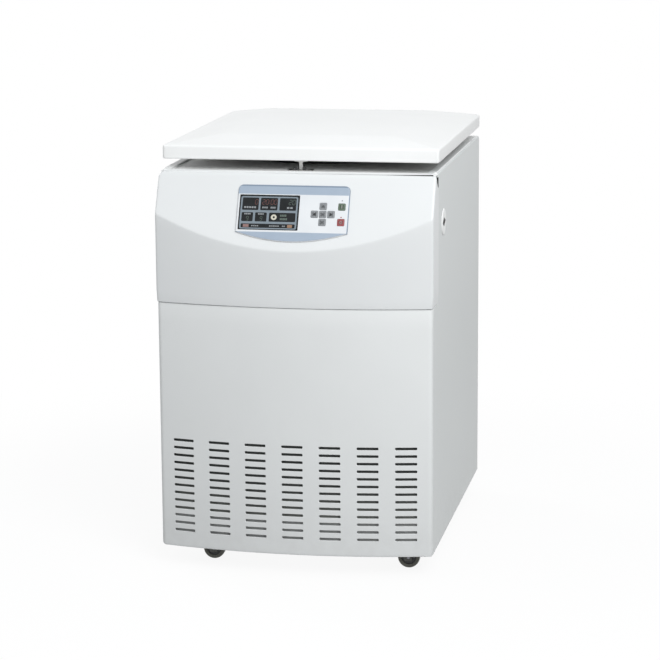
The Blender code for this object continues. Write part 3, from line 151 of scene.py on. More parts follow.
# Nodes as expressions
class Wire:
    """A socket in a tree of nodes; an operator on it adds the Math node of that name."""

    def __init__(self, nodes, socket):
        self.nodes = nodes
        self.socket = socket

    def maths(self, operation, *values):
        return self.nodes.node("Math", {"operation": operation}, dict(enumerate(values)))

    def vector(self, operation, other, output):
        return self.nodes.node("VectorMath", {"operation": operation}, {0: self, 1: other}, output)

    def __add__(self, other):
        return self.maths("ADD", self, other)

    def __sub__(self, other):
        return self.maths("SUBTRACT", self, other)

    def __rsub__(self, other):
        return self.maths("SUBTRACT", other, self)

    def __mul__(self, other):
        return self.maths("MULTIPLY", self, other)

    __radd__ = __add__
    __rmul__ = __mul__

    def most(self, other):
        return self.maths("MAXIMUM", self, other)

    def wave(self):
        return self.maths("SINE", self)

    def rise(self, low, high):
        """Soft step from 0 at low to 1 at high; low above high makes it a fall."""
        if low > high:
            return 1 - self.rise(high, low)
        return self.nodes.node("MapRange", {"interpolation_type": "SMOOTHSTEP"},
                               {"Value": self, "From Min": low, "From Max": high})

    def mix(self, first, second):
        """Colour that goes from first to second as this value goes from 0 to 1."""
        ends = {6: colour(first), 7: colour(second)}
        return self.nodes.node("Mix", {"data_type": "RGBA"}, {0: self, **ends}, 2)

    def times(self, *factors):
        """This vector with each of its three parts multiplied."""
        return self.vector("MULTIPLY", factors, "Vector")

    def along(self, *direction):
        """How far this vector reaches along a direction."""
        return self.vector("DOT_PRODUCT", direction, "Value")

    def reach(self, x, y):
        """Distance of this place from the upright line through x and y."""
        return self.times(1.0, 1.0, 0.0).vector("DISTANCE", (x, y, 0.0), "Value")


def colour(value):
    """Three colour parts as a colour with alpha; a wire stays itself."""
    return value if isinstance(value, Wire) else (*value, 1.0)


def shade(tint, share):
    """A colour with each part times a share."""
    return [part * share for part in tint]


class Nodes:
    """The node tree of a material or a world."""

    def __init__(self, owner):
        owner.use_nodes = True
        self.tree = owner.node_tree

    def node(self, kind, settings, inputs, output=0):
        """Add a node: its settings first, then values or links by socket."""
        made = self.tree.nodes.new("ShaderNode" + kind)
        for key, value in settings.items():
            setattr(made, key, value)
        for key, value in inputs.items():
            self.feed(made.inputs[key], value)
        return Wire(self, made.outputs[output])

    def feed(self, socket, value):
        if isinstance(value, Wire):
            self.tree.links.new(value.socket, socket)
        else:
            socket.default_value = value

    def seen(self):
        """1 on rays from the camera, off a gloss or through glass, 0 on light that only bounces."""
        camera, gloss, glass = (self.node("LightPath", {}, {}, f"Is {kind} Ray")
                                for kind in ("Camera", "Glossy", "Transmission"))
        return camera.most(gloss).most(glass)

    def show(self, outlet, share, first, second):
        """Send a mix of two shaders to the node that ends the tree."""
        mixed = self.node("MixShader", {}, {0: share, 1: first, 2: second})
        self.feed(self.tree.nodes[outlet].inputs["Surface"], mixed)


class Finish(Nodes):
    """A material with its shader and the patterns that finishes share."""

    def __init__(self, name, **sockets):
        self.material = bpy.data.materials.new(name)
        super().__init__(self.material)
        self.shader = self.tree.nodes["Principled BSDF"]
        self.give(**sockets)

    def give(self, **sockets):
        """Set the shader's sockets, whose names have _ for a space."""
        for key, value in sockets.items():
            name = key.replace("_", " ")
            self.feed(self.shader.inputs[name], colour(value) if "Color" in name else value)
        return self

    def place(self):
        return self.node("TexCoord", {}, {}, "Object")

    def height(self):
        return self.place().along(0.0, 0.0, 1.0)

    def noise(self, scale, detail=2.0, stretch=(1.0, 1.0, 1.0)):
        here = self.place().times(*stretch)
        return self.node("TexNoise", {}, {"Vector": here, "Scale": scale, "Detail": detail})

    def cells(self, scale, output="Distance"):
        return self.node("TexVoronoi", {}, {"Vector": self.place(), "Scale": scale}, output)

    def bump(self, height, distance, strength=0.6):
        relief = {"Height": height, "Distance": distance, "Strength": strength}
        return self.give(Normal=self.node("Bump", {}, relief))


# Finishes
def paint_finish(name, tint, roughness, dust=0.0, coat=0.15, peel=420.0):
    """Powder coat: orange-peel bump, faint clouds of tone and gloss, a little dust near the floor."""
    made = Finish(name, Coat_Roughness=0.22, Specular_IOR_Level=0.45, Coat_Weight=coat)
    cloud = made.noise(5.0, 3.0)
    speck = made.noise(900.0, 1.0)
    tone = (cloud * 0.6 + speck * 0.4).rise(0.25, 0.75).mix(shade(tint, 0.965), tint)
    if dust:
        low = made.height().rise(0.20, 0.045) * made.noise(38.0, 4.0).rise(0.30, 0.72) * dust
        tone = low.mix(tone, (0.46, 0.45, 0.43))
    skin = made.noise(peel)
    made.give(Base_Color=tone, Roughness=roughness + (cloud - 0.5) * 0.10 + (skin - 0.5) * 0.05)
    return made.bump(skin * 0.8 + speck * 0.2, 0.00010, 0.55)


def metal_finish(name, tint, roughness, streak=None, mottled=0.0, dull=0.75):
    """Bare metal: streaks of its working direction, or mottled grain, in tone and gloss."""
    made = Finish(name, Metallic=1.0)
    grain = made.noise(1.0, 3.0, streak) if streak else made.noise(700.0)
    patches = made.cells(170.0, "Color").along(0.4, 0.3, 0.3) if mottled else made.noise(9.0, 3.0)
    wear = made.noise(14.0, 4.0).rise(0.35, 0.70)
    tone = (grain * 0.6 + patches * (0.4 + mottled)).rise(0.2, 0.9).mix(shade(tint, dull), tint)
    made.give(Base_Color=tone,
              Roughness=roughness + (grain - 0.5) * 0.22 + (patches - 0.5) * 0.12 + wear * 0.05)
    return made.bump(grain, 0.00006, 0.5)


def turned_finish(name, tint, roughness):
    """Turned and polished metal: fine rings round the drive axis, in bump and gloss."""
    made = Finish(name, Metallic=1.0)
    ring_place = made.place().reach(0.0, CHAMBER_Y) + made.height() * 0.7
    rings = made.node("TexNoise", {"noise_dimensions": "1D"}, {"W": ring_place, "Scale": 2600.0})
    smear = made.noise(11.0, 4.0)
    tone = (rings * 0.7 + smear * 0.3).rise(0.25, 0.8).mix(shade(tint, 0.78), tint)
    made.give(Base_Color=tone, Roughness=roughness + (rings - 0.5) * 0.16 + (smear - 0.5) * 0.14)
    return made.bump(rings, 0.00004, 0.5)


def plastic_finish(name, tint, roughness, coat=0.0, glow=None):
    """Moulded plastic: fine spark-eroded grain, slight clouds of tone and gloss."""
    made = Finish(name, Coat_Weight=coat, Coat_Roughness=0.1)
    skin = made.noise(1500.0)
    cloud = made.noise(30.0, 3.0)
    tone = (cloud * 0.5 + skin * 0.5).rise(0.25, 0.75).mix(shade(tint, 0.86), tint)
    made.give(Base_Color=tone, Roughness=roughness + (skin - 0.5) * 0.12 + (cloud - 0.5) * 0.08)
    if glow:
        made.give(Emission_Color=cloud.rise(0.2, 0.8).mix(shade(glow, 0.85), glow), Emission_Strength=1.0)
    return made.bump(skin, 0.00008)


def rubber_finish():
    """Black seal rubber: matt skin with fine pores and pale dust in its low places."""
    tint, pale = (0.014, 0.014, 0.015), (0.0984, 0.0984, 0.0990)
    made = Finish("black_seal_rubber", Specular_IOR_Level=0.4)
    pores = made.noise(1100.0, 3.0)
    dirt = made.noise(60.0, 4.0).rise(0.42, 0.75) * 0.35
    made.give(Base_Color=dirt.mix(tint, pale), Roughness=0.62 + (pores - 0.5) * 0.16 + dirt * 0.2)
    return made.bump(pores, 0.00012)


def foam_finish():
    """Poured insulating foam: pale ochre with open cells, painted darker in their hollows as shade."""
    made = Finish("poured_foam", Specular_IOR_Level=0.2, Roughness=0.9)
    cell = made.cells(420.0)
    lump = made.noise(24.0, 4.0)
    # Painted shade: the tone darkens where the cells' hollows sink, and the lumps vary it at random.
    tone = (cell * 0.7 + lump * 0.4).rise(0.2, 0.9).mix((0.70, 0.60, 0.36), (0.52, 0.41, 0.20))
    return made.give(Base_Color=tone).bump(lump * 3.0 - cell, 0.0012)


def filter_finish():
    """Fine moulded dust filter: dark grey cells painted darker in their hollows as shade, paler towards its
    foot as painted light, with some dust.
    """
    made = Finish("dust_filter", Specular_IOR_Level=0.1, Roughness=0.95)
    cell = made.cells(500.0)
    # Painted light: the filter is paler towards its foot. The noise adds dust, and the cells' hollows are
    # painted darker as shade.
    foot = made.height().rise(0.250, 0.110)
    dust_and_painted_light = (foot * 0.8 + made.noise(14.0, 3.0) * 0.4 - cell * 0.3).rise(0.0, 1.1)
    made.give(Base_Color=dust_and_painted_light.mix((0.090, 0.094, 0.090), (0.270, 0.280, 0.260)))
    return made.bump(cell, -0.0012)


def latch_finish():
    """Plated latch steel whose key end, inside the release plate, is painted near black, rough and dull as
    the recess's shade.
    """
    made = Finish("latch_steel")
    grain = made.noise(700.0)
    # Painted shade: past x = 0.300 the steel turns near black so that the keyhole looks dark.
    painted_shade_end = made.place().along(1.0, 0.0, 0.0).rise(0.300, 0.304)
    tone = grain.rise(0.2, 0.8).mix((0.44, 0.45, 0.46), (0.56, 0.57, 0.58))
    made.give(Base_Color=painted_shade_end.mix(tone, (0.006, 0.006, 0.006)), Metallic=1 - painted_shade_end,
              Roughness=0.38 + (grain - 0.5) * 0.2 + painted_shade_end * 0.4)
    return made.bump(grain, 0.00006, 0.5)


def fin_finish():
    """Condenser face: upright aluminium fins with painted shade between them, crossed by the tubes' painted
    shadows.
    """
    fin_pitch, tube_pitch = 0.0018, 0.022
    made = Finish("condenser_fins", Specular_IOR_Level=0.5)
    # Painted shade: the gaps between the fins are near black, and bands at the tubes' pitch are painted as
    # their shadows.
    edge = (made.place().along(1.0, 0.0, 0.0) * (2 * pi / fin_pitch)).wave().rise(-0.5, 0.6)
    tube_shadow = (made.height() * (2 * pi / tube_pitch)).wave().rise(0.75, 0.98) * 0.55
    fluff = made.noise(45.0, 4.0).rise(0.5, 0.8) * 0.4
    tone = fluff.mix(edge.mix((0.03, 0.03, 0.032), (0.56, 0.57, 0.58)), (0.30, 0.29, 0.27))
    made.give(Base_Color=tube_shadow.mix(tone, (0.05, 0.05, 0.05)), Metallic=edge * 0.9,
              Roughness=0.62 - edge * 0.2)
    return made.bump(edge, 0.0006)


def trim_finish():
    """Printed control overlay: white field, blue-grey band on top, blue-grey lens below, fine blue edge, and
    the wall under the lens painted pale as painted light against its shade.
    """
    made = Finish("control_overlay", Coat_Weight=0.2, Coat_Roughness=0.25)
    here = made.place()
    up = here.along(*SLOPE_UP) - CONTROLS[0] @ SLOPE_UP
    out = here.along(*SLOPE_OUT) - CONTROLS[0] @ SLOPE_OUT
    side = here.along(1.0, 0.0, 0.0)
    band = up.rise(BEZEL_TOP - 0.0225, BEZEL_TOP - 0.0215)
    lens = up.rise(BEZEL_LOW + 0.0008, BEZEL_LOW - 0.0002)
    edge = side.rise(BEZEL_HALF - 0.0022, BEZEL_HALF - 0.0016)
    flank = out.rise(BEZEL_FACE - 0.0002, BEZEL_FACE - 0.0008)
    wall = flank * up.rise(BEZEL_LOW - 0.002, BEZEL_LOW + 0.004) * side.rise(-0.08, 0.08)
    line = up.rise(BEZEL_TOP - 0.0048, BEZEL_TOP - 0.0034) * 0.7
    # Painted light: the downward-facing wall under the lens is painted pale so that its shade does not show.
    painted_light_underside = flank * up.rise(BEZEL_LOW + 0.001, BEZEL_LOW - 0.003)
    fine = made.noise(1300.0)
    cloud = made.noise(18.0, 3.0)
    white = cloud.rise(0.2, 0.8).mix((0.685, 0.712, 0.738), (0.735, 0.758, 0.778))
    blue = (cloud * 0.6 + fine * 0.4).rise(0.25, 0.75).mix((0.318, 0.390, 0.482), (0.350, 0.422, 0.512))
    face = painted_light_underside.mix(band.most(lens).most(edge).mix(white, blue), (0.80, 0.82, 0.84))
    made.give(Base_Color=wall.most(line).mix(face, (0.13, 0.18, 0.25)),
              Roughness=0.42 + (fine - 0.5) * 0.12 + (cloud - 0.5) * 0.06)
    return made.bump(fine, 0.00005, 0.5)


def glass_finish():
    """Dark display pane: slate glass with a gloss coat and faint smears."""
    made = Finish("display_pane", Coat_Weight=0.12, Coat_Roughness=0.08, Specular_IOR_Level=0.18)
    smear = made.noise(55.0, 4.0, (1.0, 2.0, 1.0))
    return made.give(Base_Color=smear.rise(0.25, 0.8).mix((0.008, 0.010, 0.011), (0.015, 0.018, 0.020)),
                     Roughness=0.24 + (smear - 0.5) * 0.20)


def wheel_finish():
    """Caster tyre: olive-grey polyurethane, scuffed all over, with dust where it rolls."""
    made = Finish("caster_tyre", Specular_IOR_Level=0.5, Coat_Weight=0.15, Coat_Roughness=0.3)
    scuff = made.noise(260.0, 4.0, (1.0, 0.25, 1.0))
    low = made.height().rise(0.012, 0.0) * 0.5
    tone = scuff.rise(0.3, 0.75).mix((0.062, 0.064, 0.050), (0.145, 0.147, 0.118))
    made.give(Base_Color=low.mix(tone, (0.13, 0.125, 0.115)),
              Roughness=0.42 + (scuff - 0.5) * 0.3 + low * 0.3)
    return made.bump(scuff, 0.00015)


ENAMEL = paint_finish("white_sheet_enamel", (0.770, 0.790, 0.790), 0.42, dust=0.10)
MOULDING = paint_finish("white_moulding_paint", (0.737, 0.757, 0.763), 0.38, peel=520.0)
LID = paint_finish("white_lid_moulding", (0.885, 0.895, 0.890), 0.40, coat=0.05, peel=520.0)
LID.give(Specular_IOR_Level=0.32)
SIDE = paint_finish("side_sheet_enamel", (0.660, 0.690, 0.688), 0.42, dust=0.10)
PAN = paint_finish("base_pan_enamel", (0.36, 0.37, 0.37), 0.50, dust=0.30)
DARK = paint_finish("dark_motor_enamel", (0.030, 0.032, 0.035), 0.45, coat=0.25)
ZINC = metal_finish("zinc_plated_steel", (0.56, 0.57, 0.58), 0.40, mottled=0.25)
BRUSHED = metal_finish("brushed_stainless", (0.60, 0.60, 0.59), 0.30, streak=(18.0, 1400.0, 900.0))
LINER = metal_finish("brushed_liner", (0.60, 0.60, 0.59), 0.32, streak=(9.0, 900.0, 900.0))
TURNED = turned_finish("turned_stainless", (0.63, 0.63, 0.62), 0.26)
ALLOY = metal_finish("anodised_alloy", (0.52, 0.53, 0.55), 0.44)
SPRING = metal_finish("blued_spring_wire", (0.24, 0.24, 0.26), 0.34)
COPPER = metal_finish("drawn_copper", (0.66, 0.31, 0.18), 0.34, dull=0.55)
LATCH = latch_finish()
FINS = fin_finish()
FOAM = foam_finish()
FILTER = filter_finish()
RUBBER = rubber_finish()
TYRE = wheel_finish()
FORK = plastic_finish("caster_fork_nylon", (0.066, 0.068, 0.055), 0.34, coat=0.3)
BLACK = plastic_finish("black_moulded_plastic", (0.020, 0.020, 0.021), 0.50)
TRIM = trim_finish()
PANE = glass_finish()
GREY_KEY = plastic_finish("grey_key_plastic", (0.265, 0.280, 0.295), 0.48)
GREEN_KEY = plastic_finish("green_key_plastic", (0.120, 0.165, 0.118), 0.48)
RED_KEY = plastic_finish("red_key_plastic", (0.340, 0.085, 0.088), 0.48)
MARK = plastic_finish("dark_key_marks", (0.020, 0.022, 0.025), 0.55)
FAINT = plastic_finish("faint_key_marks", (0.095, 0.102, 0.110), 0.55)
LIGHT = plastic_finish("light_key_marks", (0.30, 0.29, 0.28), 0.50)
PALE = plastic_finish("pale_print", (0.52, 0.55, 0.58), 0.50)
PRINT = plastic_finish("grey_pane_print", (0.265, 0.285, 0.300), 0.50)
IVORY = plastic_finish("ivory_ring", (0.640, 0.620, 0.520), 0.45)
LINES = plastic_finish("display_frame_lines", (0.205, 0.250, 0.290), 0.42)
RED_LIT = plastic_finish("red_segments", (0.125, 0.045, 0.038), 0.45, glow=(0.026, 0.007, 0.006))
GREEN_LIT = plastic_finish("green_segments", (0.075, 0.10, 0.085), 0.45, glow=(0.020, 0.032, 0.026))
AMBER = plastic_finish("amber_lamp", (0.30, 0.17, 0.10), 0.40, coat=0.3)
ROSE = plastic_finish("rose_lamp", (0.26, 0.15, 0.14), 0.40, coat=0.3)


# Surfaces as whole arrays
def patch(points, wrap_rows=False, wrap_columns=False, finish=0):
    """Quads between neighbouring points of a grid; a stack of equal grids may come as one array."""
    points = np.asarray(points, float)
    stack = points.reshape(-1, *points.shape[-3:])
    count, rows, columns = stack.shape[:3]
    index = np.arange(rows * columns).reshape(rows, columns)
    if wrap_rows:
        index = np.vstack([index, index[:1]])
    if wrap_columns:
        index = np.hstack([index, index[:, :1]])
    quads = np.stack([index[:-1, :-1], index[:-1, 1:], index[1:, 1:], index[1:, :-1]], -1).reshape(-1, 4)
    quads = quads[None] + (np.arange(count) * rows * columns)[:, None, None]
    return stack.reshape(-1, 3), quads.reshape(-1, 4), finish


def placed(points, axes):
    """Local (right, up, out) points as points of the room: origin plus each part along its axis."""
    origin, right, up, out = axes
    return origin + points[..., :1] * right + points[..., 1:2] * up + points[..., 2:3] * out


def arc(start, corner, stop, t):
    """Quadratic arc: (1 - t)^2 start + 2 t (1 - t) corner + t^2 stop."""
    return (1 - t) ** 2 * start + 2 * t * (1 - t) * corner + t ** 2 * stop


def rounded(corners, radius, steps=5, closed=True):
    """Each corner of an outline becomes a quadratic arc from one radius before it to one radius after it."""
    points = np.asarray(corners, float)
    size = np.broadcast_to(np.asarray(radius, float), len(points))[:, None].copy()
    if not closed:
        size[[0, -1]] = 0.0

    def toward(others):
        gap = others - points
        length = np.linalg.norm(gap, axis=1, keepdims=True)
        return points + gap / np.maximum(length, 1e-9) * np.minimum(size, length * 0.49)

    first, last = toward(np.roll(points, 1, 0)), toward(np.roll(points, -1, 0))
    t = np.linspace(0.0, 1.0, steps + 1)[None, :, None]
    arcs = arc(first[:, None], points[:, None], last[:, None], t).reshape(-1, points.shape[1])
    keep = np.linalg.norm(arcs - np.roll(arcs, 1, 0), axis=1) > 1e-7
    keep[0] = True
    return arcs[keep]


def rectangle(x0, x1, y0, y1, radius, steps=5):
    """Outline of a rectangle with rounded corners."""
    return rounded([(x0, y0), (x1, y0), (x1, y1), (x0, y1)], radius, steps)


def block(x, y, half_x, half_y, radius, steps=5):
    """Outline of a rounded rectangle given by its middle and half sizes."""
    return rectangle(x - half_x, x + half_x, y - half_y, y + half_y, radius, steps)


def around(count):
    """Equal angles round a full turn."""
    return np.linspace(0.0, 2 * pi, count, endpoint=False)


def circle(x, y, radius, count=64):
    """Outline of a circle: centre plus radius times (cos, sin)."""
    angle = around(count)
    return np.column_stack([x + radius * np.cos(angle), y + radius * np.sin(angle)])


def both_sides(right):
    """An outline from the corners of its right half, listed upward, and their mirror images."""
    return np.array(right + [(-x, y) for x, y in right[::-1]])


def lifted(outline, height):
    """A flat outline's points at one height."""
    return np.column_stack([outline, np.full(len(outline), height)])


def upright_columns(rows):
    """The columns of a table of rows, each set upright to meet a row of angles."""
    return np.array(rows, float).T[..., None]


def shifted(loop, inset):
    """An outline moved inward: each point goes along the mean of its two edges' normals."""
    if abs(inset) < 1e-9:
        return loop
    edge = np.roll(loop, -1, 0) - loop
    edge /= np.maximum(np.linalg.norm(edge, axis=1, keepdims=True), 1e-9)
    normal = np.column_stack([-edge[:, 1], edge[:, 0]])
    before = np.roll(normal, 1, 0)
    return loop + inset * (normal + before) / np.maximum(1 + (normal * before).sum(1, keepdims=True), 0.3)


def edged(low, high, top=0.0, bottom=0.0, steps=4, ring=0.0005):
    """(inset, height) levels of a plate with quarter-round edges, and a level ring inside them."""
    turn = np.linspace(0.0, pi / 2, steps + 1)
    rows = [(0.0, low)]
    if bottom:
        rows = [(bottom + ring, low)] + [(bottom * (1 - sin(a)), low + bottom * (1 - cos(a))) for a in turn]
    if not top:
        return rows + [(0.0, high)]
    return rows + [(top * (1 - cos(a)), high - top + top * sin(a)) for a in turn] + [(top + ring, high)]


def filled(loops, axes=LEVEL, finish=0):
    """Flat triangles that fill the first loop and leave the others open."""
    flat = [(loop * (1.0, 1.0, 0.0)).tolist() for loop in loops]
    triangles = np.array(tessellate_polygon(flat), int).reshape(-1, 3)
    return placed(np.concatenate(loops), axes), triangles, finish


def slab(outline, levels, axes=LEVEL, holes=(), finish=0, hole_levels=None):
    """A flat outline and its holes carried through (inset, height) levels, with flat faces at both ends."""
    sides = [(1.0, outline, levels)] + [(-1.0, hole, hole_levels or levels) for hole in holes]
    walls = [np.stack([lifted(shifted(loop, sign * inset), height) for inset, height in steps])
             for sign, loop, steps in sides]
    made = [patch(placed(wall, axes), wrap_columns=True, finish=finish) for wall in walls]
    return made + [filled([wall[end] for wall in walls], axes, finish) for end in (0, -1)]


def printed(outline, face, finish=0, holes=(), sunk=0.0002, raised=0.00012):
    """A thin mark on the slope of the controls, from a little below a face to a little above it."""
    return slab(outline, edged(face - sunk, face + raised), CONTROLS, holes, finish)


def spun(radius, height, centre, axes):
    """Rows about an axis, a column for each angle: centre + radius (cos, sin) across it + height along it."""
    across, over, along = axes
    angle = around(radius.shape[1])[None, :, None]
    ring = np.cos(angle) * across + np.sin(angle) * over
    return np.asarray(centre) + radius[..., None] * ring + height[..., None] * along


def turned(profile, centre=DRIVE_AXIS, steps=64, closed=True, finish=0, axes=UPRIGHT):
    """A (radius, height) outline turned about an axis."""
    radius, height = upright_columns(profile)
    return patch(spun(np.repeat(radius, steps, 1), height, centre, axes), closed, True, finish)


def tube(path, side, radius, sides):
    """A circle carried along a path: path + radius (cos side + sin (tangent x side)), with pointed ends."""
    tangent = np.gradient(path, axis=0)
    tangent /= np.linalg.norm(tangent, axis=1, keepdims=True)
    side = side - (side * tangent).sum(1, keepdims=True) * tangent
    side /= np.linalg.norm(side, axis=1, keepdims=True)
    over = np.cross(tangent, side)
    angle = around(sides)[None, :, None]
    rings = path[:, None] + radius * (np.cos(angle) * side[:, None] + np.sin(angle) * over[:, None])
    first, last = (np.repeat(path[end][None, None], sides, 1) for end in (0, -1))
    return patch(np.concatenate([first, rings, last]), wrap_columns=True)


# Pieces
def set_piece(name, mesh, crease, node, body):
    """Smooth a mesh below its crease angle and ride it on its body, in place of its solid if it has one."""
    mesh.polygons.foreach_set("use_smooth", np.ones(len(mesh.polygons), bool))
    mesh.set_sharp_from_angle(angle=radians(crease))
    piece = bpy.data.objects.new(name, mesh)
    scene.collection.objects.link(piece)
    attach(piece, body)
    if node:
        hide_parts(node)
    return piece


def make(name, patches, finishes, node=None, body="cabinet", crease=32.0):
    """Put surfaces into one mesh, join their shared edges, turn the faces outward and set it as a piece."""
    places, faces, numbers = zip(*patches)
    bases = np.cumsum([0] + [len(place) for place in places])
    corners = np.concatenate([(part + base).ravel() for part, base in zip(faces, bases)])
    sides = np.concatenate([np.full(len(part), part.shape[1]) for part in faces])
    numbers = np.concatenate([np.full(len(part), number) for part, number in zip(faces, numbers)])
    mesh = bpy.data.meshes.new(name)
    mesh.vertices.add(bases[-1])
    mesh.vertices.foreach_set("co", np.concatenate(places).astype(np.float32).ravel())
    mesh.loops.add(len(corners))
    mesh.loops.foreach_set("vertex_index", corners.astype(np.int32))
    mesh.polygons.add(len(sides))
    mesh.polygons.foreach_set("loop_start", (np.cumsum(sides) - sides).astype(np.int32))
    for finish in finishes:
        mesh.materials.append(finish.material)
    mesh.polygons.foreach_set("material_index", numbers.astype(np.int32))
    mesh.update(calc_edges=True)
    work = bmesh.new()
    work.from_mesh(mesh)
    bmesh.ops.remove_doubles(work, verts=work.verts, dist=2e-6)
    bmesh.ops.dissolve_degenerate(work, edges=work.edges, dist=1e-7)
    bmesh.ops.recalc_face_normals(work, faces=work.faces)
    work.to_mesh(mesh)
    work.free()
    mesh.validate()
    set_piece(name, mesh, crease, node, body)


def eased(node, finish, width):
    """A merged copy of a solid's mesh with its hard edges rounded by a Bevel, in place of the solid."""
    crease = 35.0
    source = frame["nodes"][node]
    mesh = source.data.copy()
    mesh.materials.clear()
    mesh.materials.append(finish.material)
    work = bmesh.new()
    work.from_mesh(mesh)
    bmesh.ops.remove_doubles(work, verts=work.verts, dist=1e-6)
    bmesh.ops.dissolve_limit(work, angle_limit=radians(1.0), verts=work.verts, edges=work.edges)
    work.to_mesh(mesh)
    work.free()
    piece = set_piece("eased_" + node, mesh, crease, node, source["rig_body"])
    bevel = piece.modifiers.new("edges", "BEVEL")
    bevel.width, bevel.segments, bevel.limit_method = width, 2, "ANGLE"
    bevel.angle_limit, bevel.use_clamp_overlap, bevel.harden_normals = radians(crease), True, True


# Camera at the photograph's viewing angle
def set_camera(place, yaw, pitch, roll, focal_share):
    """Look along yaw and pitch, turn by roll; the lens is a multiple of the picture's width."""
    ahead = Vector((sin(yaw) * cos(pitch), cos(yaw) * cos(pitch), -sin(pitch)))
    level = Vector((cos(yaw), -sin(yaw), 0.0))
    upright = level.cross(ahead)
    right = cos(roll) * level + sin(roll) * upright
    up = cos(roll) * upright - sin(roll) * level
    data = bpy.data.cameras.new("studio_camera")
    data.sensor_fit, data.sensor_width = "HORIZONTAL", 36.0
    data.lens = focal_share * data.sensor_width
    data.clip_end = 200.0
    camera = bpy.data.objects.new("studio_camera", data)
    camera.matrix_world = Matrix((right, up, -ahead)).transposed().to_4x4()
    camera.location = place
    scene.collection.objects.link(camera)
    scene.camera = camera


# Studio: pale floor, white surroundings, large soft lamps
def lamp(name, place, target_z, size, power):
    """Square area lamp aimed at a height on the upright axis."""
    data = bpy.data.lights.new(name, "AREA")
    data.shape, data.size, data.energy = "SQUARE", size, power
    made = bpy.data.objects.new(name, data)
    made.location = place
    aim = Vector((0.0, 0.0, target_z)) - Vector(place)
    made.rotation_euler = aim.to_track_quat("-Z", "Y").to_euler()
    scene.collection.objects.link(made)


def studio():
    """Floor disc that fades into a white surround; seen directly or mirrored, both are plain and pale."""
    world_light, floor_white = 0.57, 0.90
    scene.world = bpy.data.worlds.new("studio_surround")
    sky = Nodes(scene.world)
    plain = sky.node("Background", {}, {"Color": (0.96, 0.98, 1.0, 1.0), "Strength": world_light})
    white = sky.node("Background", {}, {"Color": (1.0, 1.0, 1.0, 1.0)})
    sky.show("World Output", sky.seen(), plain, white)

    rings = [(radius, 0.0) for radius in (0.0, 0.6, 1.2, 2.0, 3.0, 4.5)]
    points, faces, _ = turned(rings, ORIGIN, 96, False)
    mesh = bpy.data.meshes.new("studio_floor")
    mesh.from_pydata(points.tolist(), [], faces.tolist())
    mesh.update()
    floor = bpy.data.objects.new("studio_floor", mesh)
    scene.collection.objects.link(floor)
    made = Finish("pale_floor", Roughness=0.9, Specular_IOR_Level=0.0)
    distance, seen = made.place().reach(0.0, 0.0), made.seen()
    bounce = (distance.rise(0.6, 2.2) * 0.9 + made.noise(3.0) * 0.1).mix([0.08] * 3, [0.32] * 3)
    made.give(Base_Color=seen.mix(bounce, [floor_white] * 3))
    glow = made.node("Emission", {}, {"Color": (1.0, 1.0, 1.0, 1.0)})
    share = seen * (floor_white + distance.rise(0.75, 1.7) * (1.0 - floor_white))
    made.show("Material Output", share, Wire(made, made.shader.outputs["BSDF"]), glow)
    mesh.materials.append(made.material)


# Lid
def lid_cover():
    """Band and hipped top as rings: an outline shrinks from the band to the plateau, with soft corners.

    Ring(t) = band + t (plateau - band); its height is rise (1 - (d + sqrt(d^2 + soft)) / 2) with d = 1 - t.
    """
    wider, higher, band, corner = 0.0024, 0.005, 0.031, 0.007
    hip_x, hip_front, hip_rear = 0.115, 0.096, 0.075
    lip, foot, soft, bulge = 0.0045, 0.0035, 0.006, 0.0003
    x, y0, y1 = LID_HIGH.x + wider, LID_LOW.y, LID_HIGH.y
    z0, z1 = LID_LOW.z, LID_HIGH.z + higher
    band_z = z0 + band
    outer = rectangle(-x, x, y0, y1, corner, 8)
    plateau = rectangle(hip_x - x, x - hip_x, y0 + hip_front, y1 - hip_rear, corner, 8)
    levels = [(0.0056, z0 + 0.0030), (0.0056, z0 + 0.0006), (0.0050, z0)]
    levels += [(foot * (1 - sin(a)) * 0.8, z0 + foot * (1 - cos(a))) for a in np.linspace(0.25, pi / 2, 6)]
    levels += [(0.0, band_z - lip - 0.004)]
    levels += [(lip * (1 - cos(a)), band_z - lip + lip * sin(a)) for a in np.linspace(0.0, 1.45, 7)]
    rows = [lifted(shifted(outer, inset), z) for inset, z in levels]
    edge = shifted(outer, lip)
    for t in np.concatenate([[0.02], np.linspace(0.1, 0.8, 6), np.linspace(0.86, 1.14, 8), [1.3]]):
        d = 1 - t
        rise = (z1 - band_z) * (1 - (d + np.sqrt(d * d + soft)) / 2) + bulge * (1 - min(t, 1.0))
        rows.append(lifted(edge + t * (plateau - edge), band_z + rise))
    make("lid_cover", [patch(rows, wrap_columns=True), filled(rows[-1:]), filled(rows[:1])], [LID],
         "lid_shell", "lid", 50.0)


# Front covers
def bowed(x, inset=0.0):
    """The lower panel's plan: a parabola that stands BOW proud of the corners in the middle."""
    return CORNER_Y + inset - BOW * (1 - (x / HALF) ** 2)


